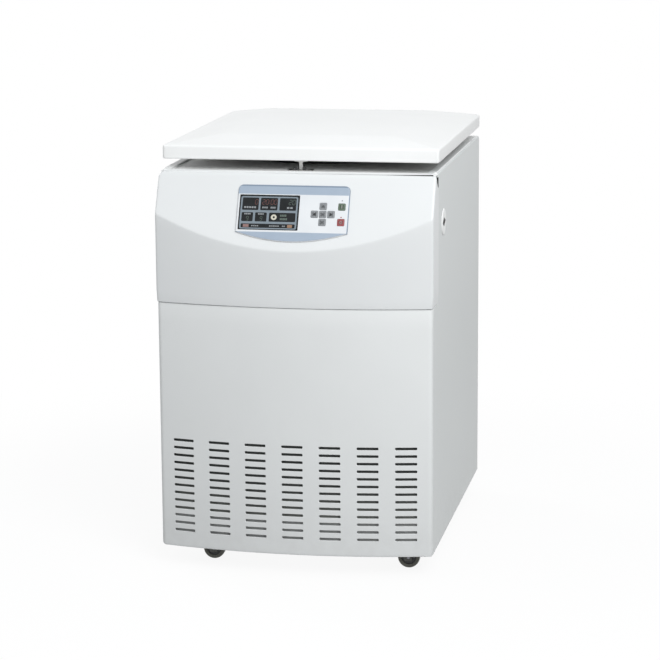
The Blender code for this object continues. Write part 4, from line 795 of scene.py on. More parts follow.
def upper_cover():
    """Moulded front in plan rows: return, quadratic corner, bow or tilted facet, corner, return.

    The front is the soft maximum of the bow and the facet plane, (a + b + sqrt((a - b)^2 + soft^2)) / 2.
    A row of the grid follows the crease between them. The inner wall is the same surface moved inward.
    """
    half, z0, z1 = HALF + PROUD, UPPER_LOW.z, PANEL_TOP_Z - 0.0018
    wall, corner, foot, soft = 0.003, 0.0055, 0.0007, 0.0011
    top_left, top_right, top_y, slant_drop = 0.0110, 0.0042, 0.0018, 0.0315
    taper, taper_height = 0.0018, 0.015
    turn = np.linspace(0.0, 1.0, 9)
    back_run = np.linspace(0.1, 1.0, 4)
    kind = np.repeat([0, 1, 2, 3, 4], [4, 9, 73, 9, 4])
    along = np.concatenate([back_run[::-1], turn, np.linspace(-1.0, 1.0, 73), turn[::-1], back_run])[None]
    on_return, on_corner = np.isin(kind, (0, 4)), np.isin(kind, (1, 3))
    side = np.where(kind < 2, -1.0, 1.0)[None]
    across = np.where(kind == 2, along, side) * half
    near = np.array([-6.0, -3.0, -1.5, -0.6, 0.0, 0.6, 1.5, 3.0, 6.0])[:, None] * 0.001
    between = turn[1:-1, None]
    ends = np.linspace(0.0, pi / 2, 6)[:, None]
    top = top_left + (top_right - top_left) * (across / half + 1) / 2
    low, high = z0 + foot, z1 - top - np.where(on_return, along, 0.0) * slant_drop
    crease = FACET_LOW_Z + (CORNER_Y - PROUD - BOW * (1 - (across / half) ** 2) - APEX_Y) / tan(FACET_TILT)
    crease = np.minimum(crease, high - 0.012)
    z = np.concatenate([low - foot * np.cos(ends) + 0 * crease, low + (crease + near[0] - low) * between,
                        crease + near, crease + near[-1] + (high - crease - near[-1]) * between,
                        high + top * np.sin(ends)])

    def surface(inset):
        lift = 1 - np.sqrt(1 - np.clip((z - high) / top, 0.0, 1.0) ** 2)
        drop = np.clip((low - z) / foot, 0.0, 1.0)
        low_in = foot * (1 - np.sqrt(1 - drop ** 2)) * 0.8
        sides = half - inset - low_in - taper * np.clip((z0 + taper_height - z) / taper_height, 0.0, 1.0)
        left, right = sides - top_left * lift, sides - top_right * lift
        in_y = inset + top_y * lift + low_in

        def front(x):
            bow = CORNER_Y - PROUD + in_y - BOW * (1 - (x / half) ** 2)
            facet = APEX_Y + (z - FACET_LOW_Z) * tan(FACET_TILT) + in_y / cos(FACET_TILT)
            return (bow + facet + np.sqrt((bow - facet) ** 2 + soft ** 2)) / 2

        edge = np.where(kind < 2, left, right)
        meet, y_edge = edge - corner, front(edge)
        back = y_edge + corner
        face_x = corner - left + (left + right - 2 * corner) * (along + 1) / 2
        end_x = np.where(on_corner, arc(edge, edge, meet, along), edge)
        return_y = back + along * (RETURN_REAR_Y - back)
        end_y = np.where(on_corner, arc(back, y_edge, front(meet), along), return_y)
        x = np.where(kind == 2, face_x, side * end_x)
        y = np.where(kind == 2, front(face_x), end_y)
        return np.stack([x, y, z], -1)

    outer, inner = surface(0.0), surface(wall)
    walls = patch(np.concatenate([outer, inner[:, ::-1]], 1), wrap_columns=True)
    rims = [patch(np.stack([outer[end], inner[end]])) for end in (0, -1)]
    make("upper_cover", [walls] + rims, [MOULDING], "upper_front_panel", crease=48.0)


def lower_cover():
    """Bowed sheet of equal cells, each a slot's rim joined to the cell's edge, and plain strips round them.

    Depth is measured along Y from y = corner - bow (1 - (x / half)^2); rim rows round the slot's edge.
    """
    pitch_x, pitch_z, columns, rows, first = 0.0843, 0.0174, 7, 13, 0.039
    slot_x, slot_z, inner_x = 0.0240, 0.0030, 0.0125
    corner, back, soft = 0.009, 0.0118, 0.0011
    foot_left, foot_right = 0.0090, 0.0030
    half_x, half_z = pitch_x / 2, pitch_z / 2
    z0, z1 = LOWER_LOW.z, LOWER_HIGH.z + 0.0006

    t = np.linspace(-1.0, 1.0, 7)
    bend = t * pi / 2
    end = np.sqrt(np.abs(np.column_stack([np.cos(bend), np.sin(bend)])))
    end = end * np.column_stack([np.ones(len(t)), np.sign(t)]) * slot_z + (slot_x - slot_z, 0.0)
    span = np.array([(inner_x, slot_z), (0.0, slot_z), (-inner_x, slot_z)])
    rim = np.concatenate([end, span, -end, -span])
    wide = np.column_stack([np.full(len(t), half_x), half_z * t])
    over = np.array([(inner_x, half_z), (0.0, half_z), (-inner_x, half_z)])
    cell_edge = np.concatenate([wide, over, -wide, -over])
    levels = [(0.0, LOWER_WALL), (0.0, 0.0007), (-0.0002, 0.0002), (-0.0006, 0.0), (-0.0012, 0.0)]
    rings = [lifted(shifted(rim, inset), depth) for inset, depth in levels]
    cell = np.stack([lifted(cell_edge, LOWER_WALL)] + rings + [lifted(cell_edge, 0.0)])
    column_x = (np.arange(columns) - (columns - 1) / 2) * pitch_x
    row_z = z0 + first + np.arange(rows) * pitch_z
    centre = np.stack(np.meshgrid(column_x, row_z, [0.0], indexing="ij"), -1).reshape(-1, 1, 1, 3)
    x, z, depth = np.moveaxis(cell[None] + centre, -1, 0)
    cells = np.stack([x, bowed(x) + depth, z], -1)
    stations = (column_x[:, None] + np.array([-half_x, -inner_x, 0.0, inner_x])).ravel()
    block_end = column_x[-1] + half_x

    def margin(inset):
        """Right end of the plan: straight on from the last cell, round the corner, a short way back."""
        edge, meet = HALF - inset, HALF - corner
        flat = np.linspace(block_end, meet, 3)
        s = np.linspace(0.0, 1.0, 8)[1:]
        arc_y = arc(bowed(meet, inset), bowed(edge, inset), CORNER_Y + corner, s)
        return np.column_stack([np.concatenate([flat, arc(meet, edge, edge, s), [edge]]),
                                np.concatenate([bowed(flat, inset), arc_y, [CORNER_Y + back]])])

    def plan(inset):
        """The whole plan: left end, the cells' edges, right end."""
        right = margin(inset)
        inside = np.column_stack([stations[1:], bowed(stations[1:], inset)])
        return np.concatenate([right[::-1] * (-1.0, 1.0), inside, right])

    def raised(inset, height, round_off):
        """Plan points at a height; the foot's corners rise by r - sqrt(r^2 - d^2), d past their start."""
        points = plan(inset)
        r = np.where(points[:, 0] < 0, foot_left, foot_right)
        past = np.clip(np.abs(points[:, 0]) - HALF + r, 0.0, r * 0.98)
        return np.column_stack([points, height + round_off * (r - np.sqrt(r ** 2 - past ** 2))])

    def strip(levels):
        """Closed plan loops at (inset, height, rounding) levels, and the rim that closes the last one."""
        pairs = np.array([(raised(*level), raised(LOWER_WALL, *level[1:])) for level in levels])
        loops = np.concatenate([pairs[:, 0], pairs[:, 1, ::-1]], 1)
        return [patch(loops, wrap_columns=True), patch(pairs[-1])]

    turn = np.linspace(0.0, pi / 2, 5)[1:]
    vent_low, vent_high = row_z[0] - half_z, row_z[-1] + half_z
    upper = [(0.0, h, 0.0) for h in np.linspace(vent_high, z1 - soft, 8)]
    upper += [(soft * (1 - cos(k)), z1 - soft + soft * sin(k), 0.0) for k in turn]
    lower = [(0.0, h, (vent_low - h) / (vent_low - z0 - soft)) for h in np.linspace(vent_low, z0 + soft, 6)]
    lower += [(soft * (1 - cos(k)), z0 + soft - soft * sin(k), 1.0) for k in turn]
    loop = np.concatenate([margin(0.0), margin(LOWER_WALL)[::-1]])
    right = np.stack([lifted(loop, vent_low + k * pitch_z / 6) for k in range(rows * 6 + 1)])
    patches = [patch(cells, wrap_columns=True), patch(right), patch(right * (-1.0, 1.0, 1.0))]
    make("lower_cover", patches + strip(upper) + strip(lower), [ENAMEL], "lower_front_panel",
         crease=40.0)


# Behind the front covers
def base_lip():
    """Front of the base pan: a lip from its straight edge to a bowed upstand behind the lower panel."""
    x = np.linspace(-HALF + 0.030, HALF - 0.030, 41)
    face = np.minimum(bowed(x, LOWER_WALL + FILTER_GAP), BASE_LOW.y - 0.003)
    front, rear = np.column_stack([x, face]), np.column_stack([x, face + 0.0016])
    lip = np.concatenate([front, [(x[-1], BASE_LOW.y - 0.0002), (x[0], BASE_LOW.y - 0.0002)]])
    upstand = np.concatenate([front, rear[::-1]])
    patches = slab(lip, edged(BASE_LOW.z, BASE_HIGH.z, 0.0006, 0.0006))
    patches += slab(upstand, edged(BASE_HIGH.z - 0.0005, BASE_HIGH.z + UPSTAND, 0.0005))
    make("base_pan_lip", patches, [PAN])


def bowed_strip(front, rear):
    """Outline between two copies of the lower panel's inner bow, moved in by front and rear."""
    x = np.linspace(-HALF + 0.012, HALF - 0.012, 41)
    near, far = (np.column_stack([x, bowed(x, LOWER_WALL + depth)]) for depth in (front, rear))
    return np.concatenate([near, far[::-1]])


def vent_filter():
    """Dust filter behind the vents: the panel's bow moved in, standing on the base pan's upstand."""
    levels = edged(BASE_HIGH.z + UPSTAND - 0.0005, LOWER_LOW.z + 0.266, 0.0020)
    make("vent_filter", slab(bowed_strip(FILTER_GAP, FILTER_GAP + 0.008), levels), [FILTER])


def seam_backing():
    """Bowed strip behind the seam of the two covers, so that the seam is a shallow groove."""
    levels = edged(LOWER_HIGH.z - 0.012, UPPER_LOW.z + 0.010, 0.0004)
    make("seam_backing", slab(bowed_strip(0.0004, 0.0019), levels), [ENAMEL])


# Side, rear and deck sheets
def side_sheets():
    """Flat sheets with a notch for the front moulding's return and quarter-round edges on the outer face."""
    front, notch = CORNER_Y + 0.0134, RETURN_REAR_Y + 0.0016
    low, step, top = SKIRT_Z, UPPER_LOW.z - 0.0020, DECK_TOP_Z
    corners = [(front, low), (REAR_Y, low), (REAR_Y, top), (notch, top), (notch, step), (front, step)]
    right = rounded(corners, [0.002, 0.003, 0.014, 0.002, 0.0015, 0.003], 6)
    for name, axes, sign in SIDES:
        outline = right if sign > 0 else (right * (-1.0, 1.0))[::-1]
        holes = [circle(RELEASE.y, RELEASE.z, 0.012, 48)] if sign > 0 else ()
        make(name + "_sheet", slab(outline, edged(HALF - SHEET, HALF, 0.0018, 0.0, 6), axes, holes), [SIDE],
             name + "_side_panel")


def corner_seals():
    """Rubber strips: on the side sheet's edge above the moulding's return, and behind the slit below it."""
    slit_z, slit_half = (SKIRT_Z + UPPER_LOW.z) / 2, (UPPER_LOW.z - SKIRT_Z) / 2 - 0.004
    for name, axes, sign in SIDES:
        upper = block(sign * (RETURN_REAR_Y + 0.0005), PANEL_TOP_Z - 0.0195, 0.0013, 0.0115, 0.0011, 4)
        lower = block(sign * (CORNER_Y + 0.0155), slit_z, 0.0055, slit_half, 0.0015, 3)
        patches = slab(upper, edged(HALF - 0.0040, HALF + 0.0014, 0.0008), axes)
        patches += slab(lower, edged(HALF - 0.0050, HALF - 0.0020, 0.0004, 0.0008), axes)
        make(name + "_corner_seal", patches, [RUBBER])


def rear_sheet():
    """Flat rear sheet with round-ended air slots and the openings for the switch and the cable gland."""
    half, low, high = REAR_HIGH.x, REAR_LOW.z, REAR_HIGH.z
    holes = [block(x, z, 0.045, 0.004, 0.0039)
             for x in (0.180, 0.060, -0.060) for z in 0.190 + np.arange(6) * 0.030]
    holes += [block(-SWITCH.x, SWITCH.z, 0.0103, 0.0153, 0.0008, 2), circle(-SWITCH.x, GLAND_Z, 0.0133, 40)]
    outline = rectangle(-half, half, low, high, 0.002)
    make("rear_sheet", slab(outline, edged(REAR_Y - SHEET, REAR_Y, 0.0009), REAR_SIDE, holes), [ENAMEL],
         "rear_panel")


def deck_sheet():
    """Deck plate with the round chamber mouth and the striker's slot, a raised bead, and a black front seal
    that paints the shade in the gap between the front panel's top and the deck.
    """
    half, notch, edge = DECK_HIGH.x, 0.3090, 0.3035
    front, step, rear = -0.3320, RETURN_REAR_Y + 0.001, DECK_HIGH.y
    outline = rounded(both_sides([(notch, front), (notch, step), (half, step), (half, rear)]), 0.0015, 3)
    holes = [circle(0.0, CHAMBER_Y, 0.200, 128), block(0.0, STRIKER_Y, 0.023, 0.009, 0.004)]
    patches = slab(outline, edged(DECK_TOP_Z - 0.0025, DECK_TOP_Z, 0.0007), LEVEL, holes)
    inner, outer, end = edge - 0.015, half - 0.0004, rear - 0.040
    bead = [(-edge, front - 0.0056), (edge, front + 0.0006), (edge, step), (outer, step), (outer, end),
            (inner, end), (inner, front + 0.0070), (-inner, front + 0.0060), (-inner, end), (-outer, end),
            (-outer, step), (-edge, step)]
    patches += slab(rounded(bead, 0.0030), edged(DECK_TOP_Z - 0.0010, DECK_TOP_Z + 0.0038, 0.0016), finish=1)
    make("deck_sheet", patches, [LID, ENAMEL], "top_deck")
    # Painted shade: a black rubber wedge in the gap behind the front panel's top edge makes the dark line
    # there, thickest at the right.
    left, right, top = 0.170, 0.3040, PANEL_TOP_Z
    wedge = [(left, top - 0.0070), (right, top - 0.0070), (right, top + 0.0004), (left, top - 0.0024)]
    levels = edged(0.0012 - front, 0.0042 - front, 0.0003, 0.0003)
    make("deck_front_shade_seal", slab(rounded(wedge, 0.0006, 2), levels, FRONT_SIDE), [RUBBER])


# Controls on the slope
def control_overlay():
    """Plate on the slope: straight sides, a parabola below, round corners above, holes for pane and keys."""
    corner, hole_half = 0.013, KEY / 2 + FIT
    s = np.linspace(-1.0, 1.0, 49)
    below = np.column_stack([BEZEL_HALF * s, BEZEL_LOW - BEZEL_SAG * (1 - s ** 2)])
    start, tip, stop = np.array([(BEZEL_HALF, BEZEL_TOP - corner), (BEZEL_HALF, BEZEL_TOP),
                                 (BEZEL_HALF - corner, BEZEL_TOP)])
    right = arc(start, tip, stop, np.linspace(0.0, 1.0, 9)[:, None])
    outline = np.concatenate([below, right, right[::-1] * (-1.0, 1.0)])
    x0, x1, y0, y1 = WINDOW
    holes = [rectangle(x0 - FIT, x1 + FIT, y0 - FIT, y1 + FIT, 0.0022)]
    holes += [block(x, y, hole_half, hole_half, 0.0028) for x, y in KEYS.values()]
    plate = slab(outline, edged(FIT, BEZEL_FACE, 0.0024, 0.0, 6), CONTROLS, holes, 0,
                 edged(FIT, BEZEL_FACE, 0.0004, 0.0, 3, 0.0002))
    make("control_overlay", plate, [TRIM], "control_bezel")
    half, low, tip, dot = 0.0020, -0.0640, -0.0605, -0.1010
    start_mark = rounded([(PUSH_X - half, low), (PUSH_X + half, low), (PUSH_X, tip)], 0.0003, 2)
    marks = printed(start_mark, BEZEL_FACE, sunk=0.0003)
    marks += printed(circle(PUSH_X, dot, 0.0015, 20), BEZEL_FACE, 1, sunk=0.0003)
    make("push_key_marks", marks, [GREY_KEY, RED_KEY])


def key_caps():
    """Keys as rounded squares whose rings shrink up a soft edge to a shallow crown, with raised marks."""
    low, high, half = 0.0014, 0.0048, KEY / 2
    levels = edged(low, high - 0.0003, 0.0009) + [(0.0022, high - 0.0002), (0.0042, high), (0.0062, high)]
    arrow = np.array([(0.0038, 0.0), (-0.0026, 0.0042), (-0.0026, -0.0042)])
    arrow_turn = {"key_up": 90.0, "key_left": 180.0, "key_right": 0.0, "key_down": 270.0}
    looks = {"key_start": (GREEN_KEY, LIGHT, "green_key"), "key_stop": (RED_KEY, LIGHT, "red_key"),
             "key_left": (GREY_KEY, MARK, "grey_key"), "key_right": (GREY_KEY, MARK, "grey_key")}
    for name, (x, y) in KEYS.items():
        holes = ()
        if name in arrow_turn:
            turn = radians(arrow_turn[name])
            spin = np.array([(cos(turn), sin(turn)), (-sin(turn), cos(turn))])
            mark = rounded(arrow @ spin + (x, y), 0.0004, 2)
        elif name == "key_enter":
            mark = circle(x, y, 0.0022, 24)
        elif name == "key_start":
            mark = block(x, y, 0.0009, 0.0036, 0.0004, 2)
        else:
            mark, holes = circle(x, y, 0.0032, 32), [circle(x, y, 0.0021, 32)]
        cap_finish, mark_finish, slot = looks.get(name, (GREY_KEY, FAINT, "grey_key"))
        patches = slab(block(x, y, half, half, 0.0026), levels, CONTROLS) + printed(mark, high, 1, holes)
        make(name + "_cap", patches, [cap_finish, mark_finish], name, name)


SEGMENTS = {"0": "abcdef", "2": "abged", "9": "abcdfg"}
SEGMENT_ENDS = {"a": ((0, 2), (1, 2)), "b": ((1, 2), (1, 1)), "c": ((1, 1), (1, 0)), "d": ((0, 0), (1, 0)),
                "e": ((0, 1), (0, 0)), "f": ((0, 2), (0, 1)), "g": ((0, 1), (1, 1))}


def figures(text, right, base, size):
    """Outlines of seven-segment figures set from the right: a lit bar is a hexagon between two corners.

    A corner (i, j) stands at x = i wide + 0.06 j size and y = j size / 2.
    """
    wide, bar = size * 0.52, size * 0.085
    made, x = [], right
    for sign in reversed(text):
        if sign == ":":
            x -= size * 0.16
            made += [circle(x + size * 0.03, base + share * size, bar * 0.8, 10) for share in (0.32, 0.68)]
            x -= size * 0.14
            continue
        x -= wide
        for key in SEGMENTS[sign]:
            start, stop = (np.array((x + i * wide + 0.06 * size * j, base + j * size / 2))
                           for i, j in SEGMENT_ENDS[key])
            ahead = (stop - start) / np.linalg.norm(stop - start) * bar
            beside = np.array((-ahead[1], ahead[0])) / 2
            start, stop = start + ahead * 0.35, stop - ahead * 0.35
            near, far = start + ahead / 2, stop - ahead / 2
            made.append(np.array([start, near - beside, far - beside, stop, far + beside, near + beside]))
        x -= size * 0.20
    return made


def display():
    """Pane with rounded corners, a raised frame of lines with a window for each reading, and the readings."""
    x0, x1, y0, y1 = WINDOW
    wide, tall = x1 - x0, y1 - y0
    face = FIT + 0.0036
    make("display_pane", slab(rectangle(*WINDOW, 0.002), edged(FIT, face, 0.0005), CONTROLS), [PANE],
         "display_window")

    def cell(left, right, top, low):
        """Sides of a part of the pane from shares of its width and height, read from its top left corner."""
        return x0 + left * wide, x0 + right * wide, y1 - low * tall, y1 - top * tall

    windows = [(0.048, 0.322, 0.082, 0.440), (0.352, 0.640, 0.082, 0.440), (0.672, 0.950, 0.082, 0.440),
               (0.048, 0.240, 0.505, 0.765), (0.275, 0.470, 0.505, 0.765), (0.508, 0.950, 0.505, 0.765),
               (0.048, 0.950, 0.828, 0.945)]
    holes = [rectangle(*cell(*window), 0.0024) for window in windows]
    patches = printed(rectangle(*cell(0.022, 0.976, 0.045, 0.978), 0.0045), face, 0, holes, -0.00005, 0.00030)
    red, green, grey, amber, rose, ivory = range(1, 7)
    readings = (("0", 0.300, 0.270, 0.0108, red), ("20:00", 0.620, 0.270, 0.0108, red),
                ("20", 0.925, 0.270, 0.0108, green), ("9", 0.160, 0.735, 0.009, green),
                ("9", 0.390, 0.735, 0.009, green))
    signs = []
    for text, right, base, size, ink in readings:
        signs += [(shape, ink, ()) for shape in figures(text, x0 + right * wide, y1 - base * tall, size)]
    # Rows of short bars: top, low, ink, gap as a share of the step, then left, right and count of each group
    bars = ((0.335, 0.385, grey, 0.25,
             ((0.075, 0.285, 5), (0.380, 0.480, 3), (0.520, 0.610, 3), (0.790, 0.900, 2))),
            (0.525, 0.570, grey, 0.25, ((0.090, 0.200, 4), (0.320, 0.420, 4))),
            (0.555, 0.615, green, 0.15, ((0.690, 0.800, 4),)),
            (0.655, 0.715, green, 0.15, ((0.690, 0.815, 5),)),
            (0.845, 0.928, rose, 0.0, ((0.085, 0.180, 1),)),
            (0.845, 0.928, amber, 0.0, ((0.825, 0.905, 1),)),
            (0.870, 0.905, grey, 0.25, ((0.220, 0.345, 4), (0.520, 0.690, 5), (0.735, 0.790, 2))))
    for top, low, ink, gap, groups in bars:
        for left, right, count in groups:
            step = (right - left) / count
            starts = left + step * (np.arange(count) + gap / 2)
            signs += [(rectangle(*cell(start, start + step * (1 - gap), top, low), 0.0004, 2), ink, ())
                      for start in starts]
    ring_x, ring_y = x0 + 0.590 * wide, y1 - 0.635 * tall
    signs.append((circle(ring_x, ring_y, 0.0064, 40), ivory, [circle(ring_x, ring_y, 0.0024, 40)]))
    for shape, ink, inside in signs:
        patches += printed(shape, face + 0.00006, ink, inside, 0.0, 0.00008)
    make("display_readings", patches, [LINES, RED_LIT, GREEN_LIT, PRINT, AMBER, ROSE, IVORY])


# Release plate on the right side
def release_plate():
    """Disc with a lozenge recess over a black disc that paints the recess's shade: radius = (1 - t) R + t /
    (|cos| / a + |sin| / b).
    """
    base, half_wide, half_tall = HALF + 0.0001, 0.0250, 0.0105
    angle = around(96)
    lozenge = 1 / (np.abs(np.cos(angle)) / half_wide + np.abs(np.sin(angle)) / half_tall)
    t, size, out = upright_columns([
        (1.0, 0.0, 0.0002), (1.0, 0.0, 0.0016), (0.97, 0.0270, 0.0019), (0.90, 0.0270, 0.0020),
        (0.0, 0.0270, 0.0022), (0.0, 0.0280, 0.0020), (0.0, 0.0290, 0.0015), (0.0, 0.0298, 0.0009),
        (0.0, 0.0300, 0.0004), (0.0, 0.0300, 0.0)])
    radius = (1 - t) * size + t * lozenge
    out = np.minimum(out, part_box("release_escutcheon")[1].x - base)
    points = spun(radius, out, (base, RELEASE.y, RELEASE.z), SIDEWAYS)
    # Painted shade: a black disc under the lozenge makes the recess look dark.
    floor = slab(circle(RELEASE.y, RELEASE.z, 0.0262, 64), edged(base + 0.0010, base + 0.0015), RIGHT_SIDE,
                 [circle(RELEASE.y, RELEASE.z, 0.0060, 32)], 1)
    make("release_plate", [patch(points, True, True)] + floor, [LID, BLACK],
         "release_escutcheon", crease=40.0)


# Casters
def casters():
    """Wheels turned from a rounded tread outline with a hub, and forks with eased edges."""
    half, hub_radius, axle_radius = 0.010, 0.0170, 0.0035
    for name in ("front_left", "front_right", "rear_left", "rear_right"):
        low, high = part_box("caster_wheel_" + name)
        centre = middle("caster_wheel_" + name)
        radius, axle_half = (high.z - low.z) / 2, (high.y - low.y) / 2
        tread = rounded([(hub_radius, -half + 0.0018), (radius - 0.0015, -half), (radius, -half + 0.004),
                         (radius, half - 0.004), (radius - 0.0015, half), (hub_radius, half - 0.0018)],
                        0.0028, 4, False)
        hub = rounded([(0.0, -half + 0.0010), (0.0080, -half + 0.0010), (0.0105, -half + 0.0035),
                       (hub_radius + 0.0002, -half + 0.0035), (hub_radius + 0.0002, half - 0.0035),
                       (0.0105, half - 0.0035), (0.0080, half - 0.0010), (0.0, half - 0.0010)],
                      0.0010, 3, False)
        axle = rounded([(0.0, -axle_half), (axle_radius, -axle_half), (axle_radius, axle_half),
                        (0.0, axle_half)], 0.0006, 2, False)
        patches = [turned(tread, centre, 72, True, 0, WHEEL_AXIS),
                   turned(hub, centre, 48, False, 1, WHEEL_AXIS),
                   turned(axle, centre, 20, False, 2, WHEEL_AXIS)]
        make("tyre_" + name, patches, [TYRE, BLACK, SPRING], "caster_wheel_" + name,
             "wheel_" + name)
        eased("caster_fork_" + name, FORK, 0.0008)


# Chamber
def chamber():
    """Bowl, jacket and seal turned round the drive axis from rounded outlines; the coil is a helix tube."""
    bore, inside, wall = 0.0345, 0.200, 0.003
    low, high, rim = BOWL_LOW.z, BOWL_HIGH.z, BOWL_HIGH.x
    bowl = rounded([(bore, low), (inside + wall, low), (inside + wall, high - wall), (rim, high - wall),
                    (rim, high), (inside, high), (inside, low + wall), (bore, low + wall)],
                   [0.0004, 0.018, 0.002, 0.001, 0.001, 0.003, 0.015, 0.001], 7)
    make("spun_bowl", [turned(bowl, steps=144)], [TURNED], "bowl", crease=45.0)

    jacket_low, jacket_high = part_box("insulation_jacket")
    radius, base, top, jacket_inside, jacket_floor = jacket_high.x, jacket_low.z, jacket_high.z, 0.2123, 0.030
    jacket = rounded([(bore, base), (radius, base), (radius, top), (jacket_inside, top),
                      (jacket_inside, base + jacket_floor), (bore, base + jacket_floor)], 0.003, 4)
    make("poured_jacket", [turned(jacket, steps=120)], [FOAM], "insulation_jacket")

    seal_low, seal_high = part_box("chamber_gasket")
    inner, outer, base, top = seal_high.x - 0.010, seal_high.x, seal_low.z, seal_high.z
    seal = rounded([(inner, base), (outer, base), (outer, base + 0.0065), (outer - 0.0018, base + 0.0100),
                    (outer - 0.0008, base + 0.0155), (outer - 0.0028, top), (inner + 0.0028, top),
                    (inner + 0.0008, base + 0.0155), (inner + 0.0018, base + 0.0100), (inner, base + 0.0065)],
                   0.0018, 4)
    make("chamber_seal", [turned(seal, steps=144)], [RUBBER], "chamber_gasket", crease=60.0)

    turns, pitch, radius, wire, lead_length, start = 5, 0.032, 0.2073, 0.004, 0.008, BOWL_LOW.z + 0.050
    angle = np.linspace(0.0, 2 * pi * turns, turns * 60 + 1)
    helix = np.column_stack([radius * np.cos(angle), CHAMBER_Y + radius * np.sin(angle),
                             start + pitch * angle / (2 * pi)])
    ahead = np.array((0.0, 2 * pi * radius, pitch)) / np.hypot(2 * pi * radius, pitch) * lead_length
    lead = np.linspace(1.0, 0.1, 5)[:, None]
    path = np.concatenate([helix[0] - lead * ahead, helix, helix[-1] + lead[::-1] * ahead])
    side = np.pad(np.column_stack([np.cos(angle), np.sin(angle), 0 * angle]), ((5, 5), (0, 0)), "edge")
    make("cooling_coil", [tube(path, side, wire, 14)], [COPPER], "evaporator_coil", crease=60.0)


# Drive and rotor
def drive():
    """Motor, mounts and shaft turned from rounded outlines; the motor's can has shallow cooling ribs."""
    low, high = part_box("motor_housing")
    can, groove, plate, neck, bore, flange, rib_count = 0.085, 0.0815, 0.120, 0.034, 0.0128, 0.5374, 15
    rib_z = np.linspace(low.z + 0.030, flange - 0.040, rib_count)
    ribs = np.column_stack([np.where(np.arange(rib_count) % 2, groove, can), rib_z])
    ribs = np.repeat(ribs, 2, 0) + np.tile([(0.0, -0.0045), (0.0, 0.0045)], (rib_count, 1))
    motor = np.concatenate([[(0.0, low.z), (0.075, low.z), (can, low.z + 0.010)], ribs,
                            [(can, flange - 0.010), (plate, flange - 0.010), (plate, flange), (neck, flange),
                             (neck, high.z), (bore, high.z), (bore, flange - 0.060), (0.0, flange - 0.060)]])
    motor = rounded(motor, 0.0012, 3, False)
    make("ribbed_motor", [turned(motor, steps=96, closed=False)], [DARK], "motor_housing")

    washer, pad_half = 0.0015, 0.0158
    for number in (1, 2, 3):
        node = f"motor_mount_{number}"
        spot = middle(node) * Vector((1.0, 1.0, 0.0))
        z0, z1 = (corner.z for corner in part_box(node))
        pad = rounded([(0.0, z0 + washer), (0.0145, z0 + washer), (pad_half, z0 + 0.004),
                       (0.0138, (z0 + z1) / 2), (pad_half, z1 - 0.004), (0.0145, z1 - washer),
                       (0.0, z1 - washer)], 0.002, 4, False)
        patches = [turned(pad, spot, 40, False)]
        for z in (z0, z1 - washer):
            disc = rounded([(0.0, z), (0.0152, z), (0.0152, z + washer), (0.0, z + washer)], 0.0004, 2, False)
            patches.append(turned(disc, spot, 40, False, 1))
        make(f"rubber_mount_{number}", patches, [RUBBER, ZINC], node)

    low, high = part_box("drive_shaft")
    thick, thin, shoulder = 0.0125, 0.0095, 0.6653
    shaft = rounded([(0.0, low.z), (thick, low.z), (thick, shoulder), (thin, shoulder), (thin, high.z),
                     (0.0, high.z)], 0.0008, 3, False)
    make("ground_shaft", [turned(shaft, steps=48, closed=False)], [TURNED], "drive_shaft",
         "rotor")


def rotor_nut():
    """Clamping nut: turned rows whose rim is knurled, radius less depth (1 + cos 36 angle) / 2."""
    z0, z1 = (corner.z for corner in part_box("rotor_nut"))
    bore, rim, knurl_depth = 0.0098, 0.0180, 0.0009
    outside = [(bore, z0, 0), (0.0165, z0, 0), (0.0178, z0 + 0.0010, 0), (rim, z0 + 0.0022, 0),
               (rim, z0 + 0.0030, 1), (rim, z1 - 0.0065, 1), (rim, z1 - 0.0055, 0), (0.0176, z1 - 0.0030, 0),
               (0.0160, z1 - 0.0010, 0), (0.0130, z1, 0), (0.0085, z1, 0), (0.0080, z1 - 0.0006, 0),
               (0.0078, z1 - 0.0030, 0), (0.0, z1 - 0.0030, 0)]
    inside = [(bore, z0, 0), (bore, z1 - 0.0110, 0), (0.0, z1 - 0.0110, 0)]
    angle = around(216)
    patches = []
    for rows in (outside, inside):
        radius, height, knurl = upright_columns(rows)
        size = radius - knurl * knurl_depth * (1 + np.cos(36 * angle)) / 2
        patches.append(patch(spun(size, height, DRIVE_AXIS, UPRIGHT), wrap_columns=True))
    make("knurled_nut", patches, [TURNED], "rotor_nut", "rotor", 40.0)


def buckets():
    """Cups turned from a rounded outline, with bored ears on two sides, at quarter turns round the axis."""
    pin_z, distance, radius, ear_half, pin = 0.7006, 0.095, 0.035, 0.011, 0.0043
    low, high, inside = pin_z - 0.085, pin_z + 0.025, radius - 0.004
    cup = rounded([(0.0, low), (radius, low), (radius, high), (inside, high), (inside, low + 0.005),
                   (0.0, low + 0.005)], [0.0, 0.005, 0.0016, 0.0016, 0.006, 0.0], 6, False)
    bead = rounded([(radius - 0.0005, high - 0.009), (radius + 0.0008, high - 0.0080),
                    (radius + 0.0008, high - 0.0055), (radius - 0.0005, high - 0.0045)], 0.0006, 3)
    ear = block(distance, pin_z, ear_half, ear_half, 0.006, 6)
    cup_axis = (distance, 0.0, 0.0)
    local = [turned(cup, cup_axis, 96, False), turned(bead, cup_axis, 96)]
    for out in (Y, -Y):
        axes = (ORIGIN, X, Z, out)
        local += slab(ear, edged(0.0365, 0.043, 0.0010), axes, [circle(distance, pin_z, pin, 32)])
        local += slab(ear, edged(0.0322, 0.0366), axes)
    for quarter in range(4):
        turn = pi / 2 * quarter
        spin = np.array([(cos(turn), sin(turn), 0.0), (-sin(turn), cos(turn), 0.0), (0.0, 0.0, 1.0)])
        moved = [(points @ spin + DRIVE_AXIS, faces, finish) for points, faces, finish in local]
        node = f"bucket_{quarter + 1}"
        make(f"swing_cup_{quarter + 1}", moved, [ALLOY], node, node, 40.0)


